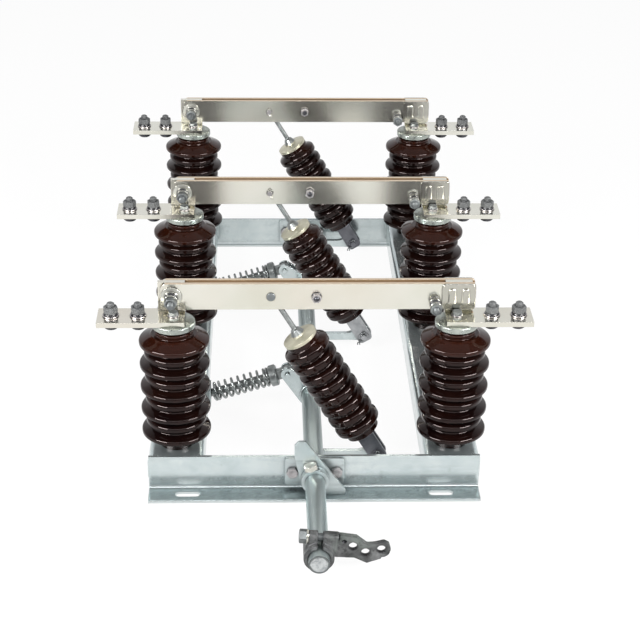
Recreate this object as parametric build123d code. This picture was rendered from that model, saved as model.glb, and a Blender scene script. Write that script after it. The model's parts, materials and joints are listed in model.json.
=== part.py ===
"""Three-pole disconnect switch for a substation, with porcelain post insulators and a turning shaft.

Frame: X runs along the blades, from the hinge side (-X) to the contact side (+X). Y runs along the
operating shaft, from the crank (-Y) to the far end (+Y). Z is up. The origin is the centre of the
four mounting slots, on the bottom plane of the feet. Lengths are in millimetres.
"""

import os
from math import atan2, cos, degrees, hypot, radians, sin

from build123d import *

# ---------------------------------------------------------------- driving dimensions
POLE_PITCH = 390.0  # from one pole to the next, along the shaft
POLE_COUNT = 3
POST_SPACING = 420.0  # from hinge post to contact post of one pole
FRONT_MARGIN = 45.0  # from the front pole to the outside of the front angle
REAR_MARGIN = 60.0  # from the rear pole to the outside of the rear angle

# base frame: two end angles and two inverted channels
ANGLE_HEIGHT = 60.0
ANGLE_FOOT = 40.0
ANGLE_WALL = 5.0
RAIL_WIDTH = 84.0
RAIL_HEIGHT = 43.0
RAIL_WALL = 5.0
RAIL_BEND = 9.0
SLOT_SPACING = 386.0
SLOT_LENGTH = 38.0
SLOT_WIDTH = 14.0

# post insulators
POST_HEIGHT = 210.0  # from the rail to the top of the metal cap
POST_SHEDS = 5
SHED_PITCH = 37.75
SHED_RADIUS = 52.5
RIB_RADIUS = 45.5
POST_GROOVE_RADIUS = 36.0
FIRST_SHED = 26.0  # lowest shed above the rail
POST_FOOT_RADIUS = 25.0
POST_NECK_RADIUS = 28.0
END_FILLET = 2.5
CAP_RADIUS = 32.0
CAP_HEIGHT = 8.0
INSERT_DEPTH = 20.0

# terminals: a flat bar on each post with an upright tab between the blade strips
BAR_LENGTH = 129.0
BAR_WIDTH = 48.0
BAR_THICK = 8.0
TAB_LENGTH = 40.0
TAB_THICK = 8.0
TERMINAL_BOLT_SPACING = 40.0
TERMINAL_BOLT_EDGE = 20.0
TERMINAL_HOLE_RADIUS = 6.75
FIXING_RADIUS = 4.0
FIXING_FLATS = 13.0
FIXING_HEAD = 5.3
FIXING_WASHER_RADIUS = 8.5
FIXING_WASHER = 1.6

# blades
BLADE_HEIGHT = 42.0
BLADE_THICK = 5.5
BLADE_SLIDE_GAP = 0.2  # each side of a tab
BLADE_LIFT = 4.5  # from the bar to the lower edge of the strips
HINGE_OUTSET = 3.0  # hinge pin beyond the post's axis
BLADE_TAIL = 16.0
BLADE_TIP = 27.5  # beyond the contact post's axis
HINGE_PIN_RADIUS = 6.0
HINGE_WASHER_RADIUS = 16.0
PULL_PIN_REACH = 147.0  # hinge pin to pull pin
PULL_PIN_RADIUS = 5.0
SPACER_X = 1.5
SPACER_RADIUS = 4.0
SPACER_SLEEVE_RADIUS = 8.0
CLAMP_SPRING_X = 178.0
CLAMP_SPRING_DROP = 12.0
CLAMP_SPRING_RADIUS = 5.0
LOCK_PLATE_LENGTH = 50.0
LOCK_PLATE_THICK = 2.5
LOCK_PLATE_CORNER = 7.0
LOCK_RIB_RISE = 1.6
LOCK_RIB_SPACING = 20.0
LOCK_RIB_LENGTH = 26.0
LOCK_RIB_WIDTH = 9.0

# operating shaft
SHAFT_RADIUS = 15.0
SHAFT_DROP = 24.0  # shaft axis below the top of the frame
SHAFT_FRONT = 243.5  # beyond the front angle
SHAFT_REAR = 3.0  # beyond the rear angle
TURN = 90.0

# pole cranks and pull links
CRANK_RADIUS = 100.0
CRANK_ANGLE = -4.5
CRANK_THICK = 8.0
CRANK_BAR_DROP = 11.5  # the bar's centre line below the shaft's axis
CRANK_BAR_HEIGHT = 13.0
CRANK_BAR_START = 6.0
CRANK_EYE_RADIUS = 11.0
CRANK_EYE_TAPER = 28.0  # along the bar
CRANK_PIN_RADIUS = 5.0
CRANK_PIN_GAP = 0.25
FORK_WIDTH = 26.0
FORK_WALL = 5.0
FORK_SIDE_GAP = 1.0
FORK_LENGTH = 46.0
FORK_END = 11.0  # beyond the crank pin
FORK_CORNER = 7.0
FORK_DISC_RADIUS = 20.0
FORK_DISC = 5.0
PULL_SHEDS = 8
PULL_INSULATOR_LENGTH = 188.0
PULL_SHED_RADIUS = 36.5
PULL_GROOVE_RADIUS = 27.0
PULL_CAP_RADIUS = 27.0
PULL_CAP_HEIGHT = 8.0
PULL_ROD_RADIUS = 4.0
EYE_HOLE_RADIUS = 11.9  # the open pivot: wider than its pin by the linkage's error
EYE_WALL = 4.6
EYE_SHIFT = 6.2
EYE_THICK = 7.0

# over-centre springs
LEVER_RADIUS = 53.0
LEVER_ANGLE = 136.0
LEVER_WALL = 5.0
LEVER_GAP = 12.0
LEVER_TIP_RADIUS = 11.0
LEVER_HUB_RADIUS = 22.0
LEVER_PIN_RADIUS = 4.0
ANCHOR_HEIGHT = 32.0
GUIDE_RADIUS = 6.5
GUIDE_OVERRUN = 14.0  # past the rail's face
COLLAR_RADIUS = 17.8
COLLAR_START = 18.0
COLLAR_END = 30.0
COIL_RADIUS = 12.6
WIRE_RADIUS = 1.9
COIL_TURNS = 9
SEAT_RADIUS = 17.0
SEAT_THICK = 4.0
GUIDE_SLOT_RADIUS = 8.5
GUIDE_SLOT_LENGTH = 23.0

# bearings and stop plate
BEARING_WIDTH = 90.0
BEARING_HEIGHT = 47.0
BEARING_THICK = 5.5
BEARING_BOLT_SPACING = 67.0
BEARING_BOLT_RADIUS = 5.0
BEARING_BOLT_FLATS = 16.0
BEARING_BOLT_HEAD = 6.4
BEARING_CORNER = 5.0
BEARING_SLEEVE_RADIUS = 20.0
BEARING_OVERRUN = 6.0  # of the sleeve past the front leg
BOSS_RADIUS = 21.0
BOSS_LENGTH = 20.0
OIL_HOLE_RADIUS = 2.5
RUNNING_GAP = 0.06
STOP_HEEL = 4.5  # the lower edge runs from here to the tip
STOP_TIP = 52.5
STOP_PEAK = 63.0
STOP_PEAK_LEFT = -25.0
STOP_PEAK_RIGHT = -14.5
STOP_SIDE = 19.0  # length of the left edge that lands on the foot
STOP_THICK = 5.0
STOP_HUB_RADIUS = 20.5
STOP_HUB_LENGTH = 18.5
SET_BOLT_RADIUS = 4.0
SET_BOLT_FLATS = 13.0
SET_BOLT_HEAD = 6.0
SET_BOLT_ANGLE = -33.0  # from upright
SET_HOLE_RADIUS = 2.75
SET_HOLE_ANGLE = 12.0
STOP_GAP = 11.5  # from the bearing's flange, clear of its bolt heads

# operating crank
HUB_RADIUS = 22.0
HUB_LENGTH = 36.0
HUB_SETBACK = 13.0  # from the end of the shaft
HUB_SLIT = 7.0
EAR_RADIUS = 9.5
EAR_LEFT = -17.0
EAR_RIGHT = 25.5
CLAMP_BOLT_RISE = 25.3
CLAMP_BOLT_RADIUS = 6.0
CLAMP_BOLT_FLATS = 18.0
ARM_THICK = 8.0
ARM_SETBACK = 20.0  # from the front of the hub
ARM_OUTLINE = ((8, 28.5), (20, 30), (51.5, 27.5), (67.5, 16), (78, 17.5), (91, 22), (98.5, 18.5), (102, 9),
               (99.5, -3), (70, -16.5), (51.5, -8.8), (8, -9.5))
ARM_HOLES = ((47.8, 10.8), (66.3, 2.0), (88.3, 8.8))
ARM_HOLE_RADIUS = 6.0

# ---------------------------------------------------------------- derived places
FACE_Y = ((POLE_COUNT - 1) * POLE_PITCH + FRONT_MARGIN + REAR_MARGIN) / 2  # outside of the end angles
POLE_YS = [-FACE_Y + FRONT_MARGIN + k * POLE_PITCH for k in range(POLE_COUNT)]
POST_X = POST_SPACING / 2
FRAME_WIDTH = POST_SPACING + RAIL_WIDTH
SLOT_Y = FACE_Y + (ANGLE_FOOT - ANGLE_WALL) / 2
CAP_TOP = ANGLE_HEIGHT + POST_HEIGHT
BAR_TOP = CAP_TOP + BAR_THICK
BAR_INNER_X = POST_X - TAB_LENGTH / 2 + HINGE_OUTSET
BLADE_Z = BAR_TOP + BLADE_LIFT + BLADE_HEIGHT / 2
BLADE_GAP = TAB_THICK + 2 * BLADE_SLIDE_GAP
BLADE_Y = BAR_WIDTH / 2 - TAB_THICK / 2  # blade centre plane, behind the pole's axis
HINGE_X = -(POST_X + HINGE_OUTSET)
PULL_PIN_X = HINGE_X + PULL_PIN_REACH
SHAFT_Z = ANGLE_HEIGHT - SHAFT_DROP
CRANK_PIN_X = CRANK_RADIUS * cos(radians(CRANK_ANGLE))
CRANK_PIN_Z = SHAFT_Z + CRANK_RADIUS * sin(radians(CRANK_ANGLE))
LINK_LENGTH = hypot(PULL_PIN_X - CRANK_PIN_X, BLADE_Z - CRANK_PIN_Z)
LEVER_PIN_X = LEVER_RADIUS * cos(radians(LEVER_ANGLE))
LEVER_PIN_Z = SHAFT_Z + LEVER_RADIUS * sin(radians(LEVER_ANGLE))
RAIL_INNER_X = POST_X - RAIL_WIDTH / 2
GUIDE_ANGLE = degrees(atan2(LEVER_PIN_Z - ANCHOR_HEIGHT, LEVER_PIN_X + RAIL_INNER_X))
GUIDE_LENGTH = hypot(LEVER_PIN_X + RAIL_INNER_X, LEVER_PIN_Z - ANCHOR_HEIGHT)
LEVER_YS = [(a + b) / 2 for a, b in zip(POLE_YS, POLE_YS[1:])]
SHAFT_START = -(FACE_Y + SHAFT_FRONT)


# ---------------------------------------------------------------- small helpers
def block(x, y, z):
    """A box from three (low, high) pairs."""
    size = [high - low for low, high in (x, y, z)]
    middle = [(high + low) / 2 for low, high in (x, y, z)]
    return Pos(*middle) * Box(*size)


def rod_y(radius, y, x=0.0, z=0.0):
    """A cylinder along Y between the two values of y."""
    return Pos(x, (y[0] + y[1]) / 2, z) * Rot(90, 0, 0) * Cylinder(radius, y[1] - y[0])


def rod_x(radius, x, y=0.0, z=0.0):
    """A cylinder along X between the two values of x."""
    return Pos((x[0] + x[1]) / 2, y, z) * Rot(0, 90, 0) * Cylinder(radius, x[1] - x[0])


def rod_z(radius, z, x=0.0, y=0.0):
    """A cylinder along Z between the two values of z."""
    return Pos(x, y, (z[0] + z[1]) / 2) * Cylinder(radius, z[1] - z[0])


def plate_y(sketch, y):
    """A sketch drawn in X and Z, made solid between the two values of y."""
    return extrude(Plane.XZ.offset(-y[0]) * sketch, y[1] - y[0], dir=(0, 1, 0))


def hexagon(across_flats):
    """A hexagon with two of its corners pointing up and down in the sketch."""
    return RegularPolygon(across_flats / 2, 6, major_radius=False, rotation=30)


def hex_z(across_flats, z, x=0.0, y=0.0):
    """A hexagonal prism along Z, with corners pointing to +Y and -Y."""
    return extrude(Pos(x, y, z[0]) * hexagon(across_flats), z[1] - z[0])


def hex_y(across_flats, y, x=0.0, z=0.0):
    """A hexagonal prism along Y."""
    return plate_y(Pos(x, z) * hexagon(across_flats), y)


def tapered_bar(x, z, radius_a, radius_b):
    """The outline that hugs a circle at the origin and a second one at (x, z)."""
    return make_hull((Circle(radius_a) + Pos(x, z) * Circle(radius_b)).edges())


def save(shape, node):
    """Writes one node; a list becomes one file with separate solids."""
    if isinstance(shape, list):
        shape = Compound(children=[s for piece in shape for s in piece.solids()])
    export_step(shape, f"parts/{node}.step")


# ---------------------------------------------------------------- base frame
def end_angle():
    """The front angle: upright leg, foot turned outwards, two slots and the shaft's hole."""
    leg = Pos(-FACE_Y + ANGLE_WALL / 2, ANGLE_HEIGHT / 2) * Rectangle(ANGLE_WALL, ANGLE_HEIGHT)
    foot_middle = -FACE_Y + ANGLE_WALL - ANGLE_FOOT / 2
    foot = Pos(foot_middle, ANGLE_WALL / 2) * Rectangle(ANGLE_FOOT, ANGLE_WALL)
    profile = leg + foot
    corner = profile.vertices().sort_by_distance((-FACE_Y, ANGLE_WALL, 0))[0]
    profile = fillet(corner, ANGLE_WALL)
    toe = profile.vertices().sort_by_distance((foot_middle - ANGLE_FOOT / 2, ANGLE_WALL, 0))[0]
    profile = fillet(toe, ANGLE_WALL / 2)
    angle = extrude(Plane.YZ.offset(-FRAME_WIDTH / 2) * profile, FRAME_WIDTH)
    for side in (-1, 1):
        slot = Pos(side * SLOT_SPACING / 2, -SLOT_Y) * SlotOverall(SLOT_LENGTH, SLOT_WIDTH)
        angle -= extrude(slot, ANGLE_WALL)
        angle -= rod_y(BEARING_BOLT_RADIUS + 0.5, (-FACE_Y - 1, -FACE_Y + ANGLE_WALL + 1),
                       side * BEARING_BOLT_SPACING / 2, SHAFT_Z)
    return angle - rod_y(BEARING_SLEEVE_RADIUS + 0.2, (-FACE_Y - 1, -FACE_Y + ANGLE_WALL + 1), 0, SHAFT_Z)


def rail(x, guide_slots):
    """An inverted channel, with a guide slot for each spring in its inner flange if asked."""
    outer = Rectangle(RAIL_WIDTH, RAIL_HEIGHT)
    outer = fillet(outer.vertices().group_by(Axis.Y)[-1], RAIL_BEND)
    inner = Pos(0, -RAIL_WALL / 2) * Rectangle(RAIL_WIDTH - 2 * RAIL_WALL, RAIL_HEIGHT - RAIL_WALL)
    inner = fillet(inner.vertices().group_by(Axis.Y)[-1], RAIL_BEND - RAIL_WALL)
    middle = ANGLE_HEIGHT - RAIL_HEIGHT / 2
    end = FACE_Y - ANGLE_WALL
    channel = plate_y(Pos(x, middle) * (outer - inner), (-end, end))
    for y in LEVER_YS if guide_slots else ():
        slot = Plane.YZ * Pos(y, ANCHOR_HEIGHT) * Rot(0, 0, 90) * SlotOverall(
            GUIDE_SLOT_LENGTH, 2 * GUIDE_SLOT_RADIUS)
        channel -= Pos(-RAIL_INNER_X - RAIL_WALL - 1, 0, 0) * extrude(slot, RAIL_WALL + 2)
    return channel


# ---------------------------------------------------------------- insulators
def shed_outline(start, rims, groove_radius, rim_half, end):
    """The half profile of a ribbed insulator.

    start and end are lists of (radius, height) for the plain ends, and rims is a list of
    (radius, height), one for each rib, with a rounded groove halfway between neighbours.
    """
    points = list(start)
    radii = [END_FILLET] * (len(start) - 1)
    for number, (radius, height) in enumerate(rims):
        if number:
            points.append((groove_radius, (height + rims[number - 1][1]) / 2))
            radii.append(2.0)
        points += [(radius, height - rim_half), (radius, height + rim_half)]
        radii += [0.95 * rim_half] * 2
    points += list(end)
    radii += [END_FILLET] * (len(end) - 1)
    line = FilletPolyline(*points, radius=radii)
    axis_line = Polyline(points[-1], (0, points[-1][1]), (0, points[0][1]), points[0])
    return make_face(line + axis_line)


def post_insulator(x, y):
    """A post of glazed porcelain with five sheds and four smaller ribs between them."""
    height = POST_HEIGHT - CAP_HEIGHT
    rims = []
    for k in range(2 * POST_SHEDS - 1):
        rims.append((RIB_RADIUS if k % 2 else SHED_RADIUS, FIRST_SHED + k * SHED_PITCH / 2))
    top_shed = rims[-1][1]
    start = [(POST_FOOT_RADIUS, 0), (POST_FOOT_RADIUS, 8), (POST_GROOVE_RADIUS, FIRST_SHED - 12)]
    end = [(POST_GROOVE_RADIUS, top_shed + 10), (POST_NECK_RADIUS, height - 8), (POST_NECK_RADIUS, height)]
    body = revolve(Plane.XZ * shed_outline(start, rims, POST_GROOVE_RADIUS, 4.6, end), Axis.Z)
    body -= rod_z(FIXING_RADIUS, (height - INSERT_DEPTH, height))
    return Pos(x, y, ANGLE_HEIGHT) * body


def post_cap(x, y):
    """The round metal cap that carries the terminal."""
    cap = rod_z(CAP_RADIUS, (CAP_TOP - CAP_HEIGHT, CAP_TOP))
    cap = fillet(cap.edges().group_by(Axis.Z)[-1], 1.5)
    return Pos(x, y, 0) * (cap - rod_z(FIXING_RADIUS + 0.5, (CAP_TOP - CAP_HEIGHT - 1, CAP_TOP + 1)))


# ---------------------------------------------------------------- terminals
def terminal(side, y):
    """The bar and tab of one post; side is -1 at the hinge and 1 at the contact."""
    outer_x = BAR_INNER_X + BAR_LENGTH
    bar = block((BAR_INNER_X, outer_x), (-BAR_WIDTH / 2, BAR_WIDTH / 2), (CAP_TOP, BAR_TOP))
    tab_x = (BAR_INNER_X, BAR_INNER_X + TAB_LENGTH)
    tab = block(tab_x, (BAR_WIDTH / 2 - TAB_THICK, BAR_WIDTH / 2), (CAP_TOP, BLADE_Z + BLADE_HEIGHT / 2))
    piece = bar + tab
    for x in terminal_bolt_xs():
        piece -= rod_z(TERMINAL_HOLE_RADIUS, (CAP_TOP - 1, BAR_TOP + 1), x)
    piece -= rod_z(FIXING_RADIUS + 0.5, (CAP_TOP - 1, BAR_TOP + 1), POST_X)
    if side < 0:
        piece -= rod_y(HINGE_PIN_RADIUS + 0.2, (0, BAR_WIDTH), -HINGE_X, BLADE_Z)
        piece = mirror(piece, Plane.YZ)
    return Pos(0, y, 0) * piece


def terminal_bolt_xs():
    """The two bolts' distances from the middle of the switch."""
    outer = BAR_INNER_X + BAR_LENGTH - TERMINAL_BOLT_EDGE
    return (outer - TERMINAL_BOLT_SPACING, outer)


def terminal_bolt(x, y):
    """An M12 bolt with a low domed head below, and washers and a nut above."""
    bolt = rod_z(6, (CAP_TOP, BAR_TOP + 19))
    head = fillet(rod_z(12.5, (CAP_TOP - 6.5, CAP_TOP)).edges().group_by(Axis.Z)[0], 4)
    washer = rod_z(12, (BAR_TOP, BAR_TOP + 2.5))
    spring_washer = rod_z(10.5, (BAR_TOP + 2.5, BAR_TOP + 5.5))
    nut = hex_z(19, (BAR_TOP + 5.5, BAR_TOP + 15.5))
    return Pos(x, y, 0) * (bolt + head + washer + spring_washer + nut)


def fixing_bolt(x, y):
    """An M8 bolt that holds a terminal and a cap on its post."""
    shank = rod_z(FIXING_RADIUS, (CAP_TOP - CAP_HEIGHT - INSERT_DEPTH + 2, BAR_TOP))
    seat = BAR_TOP + FIXING_WASHER
    washer = rod_z(FIXING_WASHER_RADIUS, (BAR_TOP, seat))
    head = Rot(0, 0, 90) * hex_z(FIXING_FLATS, (seat, seat + FIXING_HEAD))
    return Pos(x, y, 0) * (shank + washer + head)


# ---------------------------------------------------------------- blades
def strip_faces():
    """The (inner, outer) distances of a blade strip from the blade's centre plane."""
    return BLADE_GAP / 2, BLADE_GAP / 2 + BLADE_THICK


def blade_strips(y):
    """Two copper strips, one each side of the tabs."""
    low, high = HINGE_X - BLADE_TAIL, POST_X + BLADE_TIP
    outline = Pos((low + high) / 2, BLADE_Z) * Rectangle(high - low, BLADE_HEIGHT)
    outline = fillet(outline.vertices().group_by(Axis.X)[0], 10)
    outline = fillet(outline.vertices().group_by(Axis.X)[-1], 4)
    holes = [(HINGE_X, BLADE_Z, HINGE_PIN_RADIUS), (PULL_PIN_X, BLADE_Z, PULL_PIN_RADIUS),
             (SPACER_X, BLADE_Z, SPACER_RADIUS),
             (CLAMP_SPRING_X, BLADE_Z - CLAMP_SPRING_DROP, CLAMP_SPRING_RADIUS)]
    for x, z, radius in holes:
        outline -= Pos(x, z) * Circle(radius)
    inner, outer = strip_faces()
    return [plate_y(outline, (y - outer, y - inner)), plate_y(outline, (y + inner, y + outer))]


def lock_plates(y):
    """A steel plate outside each strip at the contact end, with two raised upright ovals."""
    _, outer = strip_faces()
    high = POST_X + BLADE_TIP
    middle = Pos(high - LOCK_PLATE_LENGTH / 2, BLADE_Z)
    outline = middle * RectangleRounded(LOCK_PLATE_LENGTH, BLADE_HEIGHT, LOCK_PLATE_CORNER)
    plates = []
    for side in (-1, 1):
        faces = sorted((y + side * outer, y + side * (outer + LOCK_PLATE_THICK)))
        plate = plate_y(outline, faces)
        raised = sorted((y + side * outer, y + side * (outer + LOCK_PLATE_THICK + LOCK_RIB_RISE)))
        for shift in (-LOCK_RIB_SPACING / 2, LOCK_RIB_SPACING / 2):
            oval = middle * Pos(shift, 0) * Rot(0, 0, 90) * SlotOverall(LOCK_RIB_LENGTH, LOCK_RIB_WIDTH)
            plate += plate_y(oval, raised)
        plates.append(plate)
    return plates


def stack_y(start, way, pieces):
    """Discs and hexagons one on the next along Y, each given as (maker, radius or flats, thickness)."""
    stack = None
    for maker, size, thick in pieces:
        piece = maker(size, sorted((start, start + way * thick)))
        stack = piece if stack is None else stack + piece
        start += way * thick
    return stack


def cross_bolt(y, radius, front, rear, sleeve_radius=None):
    """A bolt through both strips, with what is stacked on it in front and behind."""
    inner, outer = strip_faces()
    bolt = rod_y(radius, (y - outer - front[0][2], y + outer + rear[0][2]))
    bolt += stack_y(y - outer, -1, front) + stack_y(y + outer, 1, rear)
    return bolt + rod_y(sleeve_radius, (y - inner, y + inner)) if sleeve_radius else bolt


def blade_bolts(y):
    """The hinge bolt, pull pin, spacer bolt and clamping spring bolt of one blade."""
    hinge = cross_bolt(y, HINGE_PIN_RADIUS,
                       [(rod_y, HINGE_WASHER_RADIUS, 4), (rod_y, 10, 14), (hex_y, 16, 9), (rod_y, 5, 9)],
                       [(rod_y, HINGE_WASHER_RADIUS, 4), (hex_y, 18, 7)])
    pull_pin = cross_bolt(y, PULL_PIN_RADIUS, [(rod_y, 6.5, 2.5)], [(rod_y, 9, 1.6), (rod_y, PULL_PIN_RADIUS, 6)])
    spacer = cross_bolt(y, SPACER_RADIUS,
                        [(rod_y, 7.5, 1.6), (hex_y, 13, 6.5), (rod_y, SPACER_RADIUS, 3)],
                        [(rod_y, 7.5, 1.6), (hex_y, 13, 5.3)], SPACER_SLEEVE_RADIUS)
    clamp = cross_bolt(y, CLAMP_SPRING_RADIUS,
                       [(rod_y, 9, 2), (rod_y, 8.5, 11), (rod_y, 9, 2), (hex_y, 16, 8),
                        (rod_y, CLAMP_SPRING_RADIUS, 3)],
                       [(rod_y, 9, 2), (hex_y, 16, 6.4)])
    return [
        Pos(HINGE_X, 0, BLADE_Z) * hinge,
        Pos(PULL_PIN_X, 0, BLADE_Z) * pull_pin,
        Pos(SPACER_X, 0, BLADE_Z) * spacer,
        Pos(CLAMP_SPRING_X, 0, BLADE_Z - CLAMP_SPRING_DROP) * clamp,
    ]


# ---------------------------------------------------------------- pull links
def link_plane(y):
    """Origin on the crank pin, Z towards the pull pin, Y along the shaft."""
    along = Vector(PULL_PIN_X - CRANK_PIN_X, 0, BLADE_Z - CRANK_PIN_Z).normalized()
    return Plane(origin=(CRANK_PIN_X, y, CRANK_PIN_Z), x_dir=Vector(0, 1, 0).cross(along), z_dir=along)


def pull_fork():
    """The steel fork below the pull insulator, with the pin that joins it to the crank."""
    half_gap = CRANK_THICK / 2 + FORK_SIDE_GAP
    outer = half_gap + FORK_WALL
    cheek = Pos(0, (FORK_LENGTH - FORK_END) / 2) * Rectangle(FORK_WIDTH, FORK_LENGTH + FORK_END)
    cheek = fillet(cheek.vertices().group_by(Axis.Y)[0], FORK_CORNER)
    fork = plate_y(cheek, (half_gap, outer)) + plate_y(cheek, (-outer, -half_gap))
    fork += rod_z(FORK_DISC_RADIUS, (FORK_LENGTH - FORK_DISC, FORK_LENGTH))
    pin = rod_y(CRANK_PIN_RADIUS, (-outer - 7, outer + 2)) + rod_y(8, (outer, outer + 4))
    return fork + pin + rod_y(8.5, (-outer - 2, -outer))


def pull_insulator():
    """The porcelain rod of the link, with eight sheds."""
    low = FORK_LENGTH
    pitch = (PULL_INSULATOR_LENGTH - 16) / PULL_SHEDS
    rims = [(PULL_SHED_RADIUS, low + 8 + (k + 0.5) * pitch) for k in range(PULL_SHEDS)]
    top = low + PULL_INSULATOR_LENGTH
    start = [(PULL_GROOVE_RADIUS, low), (PULL_GROOVE_RADIUS, low + 8)]
    end = [(PULL_GROOVE_RADIUS, top - 8), (PULL_GROOVE_RADIUS, top)]
    return revolve(Plane.XZ * shed_outline(start, rims, PULL_GROOVE_RADIUS, 5.0, end), Axis.Z)


def pull_rod():
    """The metal cap, its flared boss, the round rod and the wide eye between the strips."""
    top = FORK_LENGTH + PULL_INSULATOR_LENGTH
    cap_top = top + PULL_CAP_HEIGHT
    eye_radius = EYE_HOLE_RADIUS + EYE_WALL
    profile = Polyline((0, top), (PULL_CAP_RADIUS, top), (PULL_CAP_RADIUS, cap_top - 3), (12, cap_top),
                       (PULL_ROD_RADIUS + 3, cap_top + 10), (PULL_ROD_RADIUS, cap_top + 12),
                       (PULL_ROD_RADIUS, LINK_LENGTH - eye_radius + 1.5), (0, LINK_LENGTH - eye_radius + 1.5),
                       close=True)
    rod = revolve(Plane.XZ * make_face(profile), Axis.Z)
    half = EYE_THICK / 2
    ring = tapered_bar(EYE_SHIFT, -eye_radius - 4, eye_radius, PULL_ROD_RADIUS + 1)
    hole = Circle(EYE_HOLE_RADIUS)
    eye = Pos(-EYE_SHIFT, LINK_LENGTH) * (ring - hole)
    return rod + plate_y(eye, (-half, half)) - rod_y(EYE_HOLE_RADIUS, (-half, half), -EYE_SHIFT, LINK_LENGTH)


# ---------------------------------------------------------------- shaft and what it carries
def pole_crank(y):
    """A flat bar against the side of the shaft, with an eye that works one pole's pull link."""
    pin = Pos(CRANK_PIN_X, CRANK_PIN_Z - SHAFT_Z)
    neck_x = CRANK_PIN_X - CRANK_EYE_TAPER
    bar = Pos((CRANK_BAR_START + neck_x) / 2, -CRANK_BAR_DROP) * Rectangle(
        neck_x - CRANK_BAR_START, CRANK_BAR_HEIGHT)
    neck_end = Pos(neck_x, -CRANK_BAR_DROP) * Circle(CRANK_BAR_HEIGHT / 2)
    neck = make_hull((neck_end + pin * Circle(CRANK_EYE_RADIUS)).edges())
    outline = bar + neck - Circle(SHAFT_RADIUS) - pin * Circle(CRANK_PIN_RADIUS + CRANK_PIN_GAP)
    return Pos(0, y, SHAFT_Z) * plate_y(outline, (-CRANK_THICK / 2, CRANK_THICK / 2))


def spring_lever(y):
    """A double-walled lever whose pin carries the spring's guide rod."""
    wall = tapered_bar(LEVER_RADIUS, 0, LEVER_HUB_RADIUS, LEVER_TIP_RADIUS) - Circle(SHAFT_RADIUS)
    half = LEVER_GAP / 2
    lever = plate_y(wall, (half, half + LEVER_WALL)) + plate_y(wall, (-half - LEVER_WALL, -half))
    lever += rod_y(LEVER_PIN_RADIUS, (-half - LEVER_WALL - 4, half + LEVER_WALL + 4), LEVER_RADIUS)
    return Pos(0, y, SHAFT_Z) * Rot(0, -LEVER_ANGLE, 0) * lever


def collar_place(angle):
    """On the shaft's axis amid the open part of the stop plate's collar, with Z tilted from upright."""
    face = -FACE_Y - BEARING_THICK - STOP_GAP - STOP_THICK
    return Pos(0, face - (STOP_HUB_LENGTH - STOP_THICK) / 2, SHAFT_Z) * Rot(0, angle, 0)


def stop_plate():
    """A three-cornered plate on a collar: its lower edge rests on the front angle's foot when the switch
    is closed, and its upright left edge lands there when it is open."""
    edge = SHAFT_Z - ANGLE_WALL
    shoulder = STOP_PEAK - 7
    outline = Polygon((STOP_HEEL, -edge), (STOP_TIP, -edge), (STOP_PEAK_RIGHT, STOP_PEAK),
                      (STOP_PEAK_LEFT, STOP_PEAK), (-edge, shoulder), (-edge, shoulder - STOP_SIDE), (-22, -4),
                      align=None)
    outline = fillet(outline.vertices().sort_by(Axis.X)[-1], 6)
    outline = fillet(outline.vertices().sort_by(Axis.Y)[-2:], 2)
    start = -FACE_Y - BEARING_THICK - STOP_GAP
    plate = plate_y(outline, (start - STOP_THICK, start))
    plate += rod_y(STOP_HUB_RADIUS, (start - STOP_HUB_LENGTH, start))
    plate = Pos(0, 0, SHAFT_Z) * (plate - rod_y(SHAFT_RADIUS, (start - STOP_HUB_LENGTH - 1, start + 1)))
    for angle, radius in ((SET_BOLT_ANGLE, SET_BOLT_RADIUS), (SET_HOLE_ANGLE, SET_HOLE_RADIUS)):
        plate -= collar_place(angle) * rod_z(radius, (0, STOP_HUB_RADIUS + 1))
    return plate


def set_bolt():
    """The bolt that holds the stop plate's collar on the shaft."""
    seat = STOP_HUB_RADIUS + 0.4
    bolt = rod_z(SET_BOLT_RADIUS, (SHAFT_RADIUS, seat)) + hex_z(SET_BOLT_FLATS, (seat, seat + SET_BOLT_HEAD))
    return collar_place(SET_BOLT_ANGLE) * Rot(0, 0, 90) * bolt


def operating_crank():
    """A cast crank: split clamping hub, two ears and a cranked arm with three staggered holes."""
    low = SHAFT_START + HUB_SETBACK
    high = low + HUB_LENGTH
    middle = (low + high) / 2
    crank = rod_y(HUB_RADIUS, (low, high))
    crank += rod_x(EAR_RADIUS, (EAR_LEFT, EAR_RIGHT), middle, CLAMP_BOLT_RISE)
    neck = Polygon((EAR_LEFT, 0), (HUB_RADIUS, 0), (EAR_RIGHT, HUB_RADIUS / 2), (EAR_RIGHT, CLAMP_BOLT_RISE),
                   (EAR_LEFT, CLAMP_BOLT_RISE), align=None)
    crank += plate_y(neck, (middle - EAR_RADIUS, middle + EAR_RADIUS))
    arm = fillet(Polygon(*ARM_OUTLINE, align=None).vertices(), 3)
    for x, z in ARM_HOLES:
        arm -= Pos(x, z) * Circle(ARM_HOLE_RADIUS)
    crank += plate_y(arm, (low + ARM_SETBACK, low + ARM_SETBACK + ARM_THICK))
    crank -= rod_y(SHAFT_RADIUS, (low - 1, high + 1))
    crank -= block((-HUB_SLIT / 2, HUB_SLIT / 2), (low - 1, high + 1), (0, CLAMP_BOLT_RISE + EAR_RADIUS + 1))
    crank -= rod_x(CLAMP_BOLT_RADIUS + 0.3, (EAR_LEFT - 1, 0), middle, CLAMP_BOLT_RISE)
    crank -= rod_x(CLAMP_BOLT_RADIUS, (0, EAR_RIGHT + 1), middle, CLAMP_BOLT_RISE)
    return Pos(0, 0, SHAFT_Z) * Rot(0, -CRANK_ANGLE, 0) * crank


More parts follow.
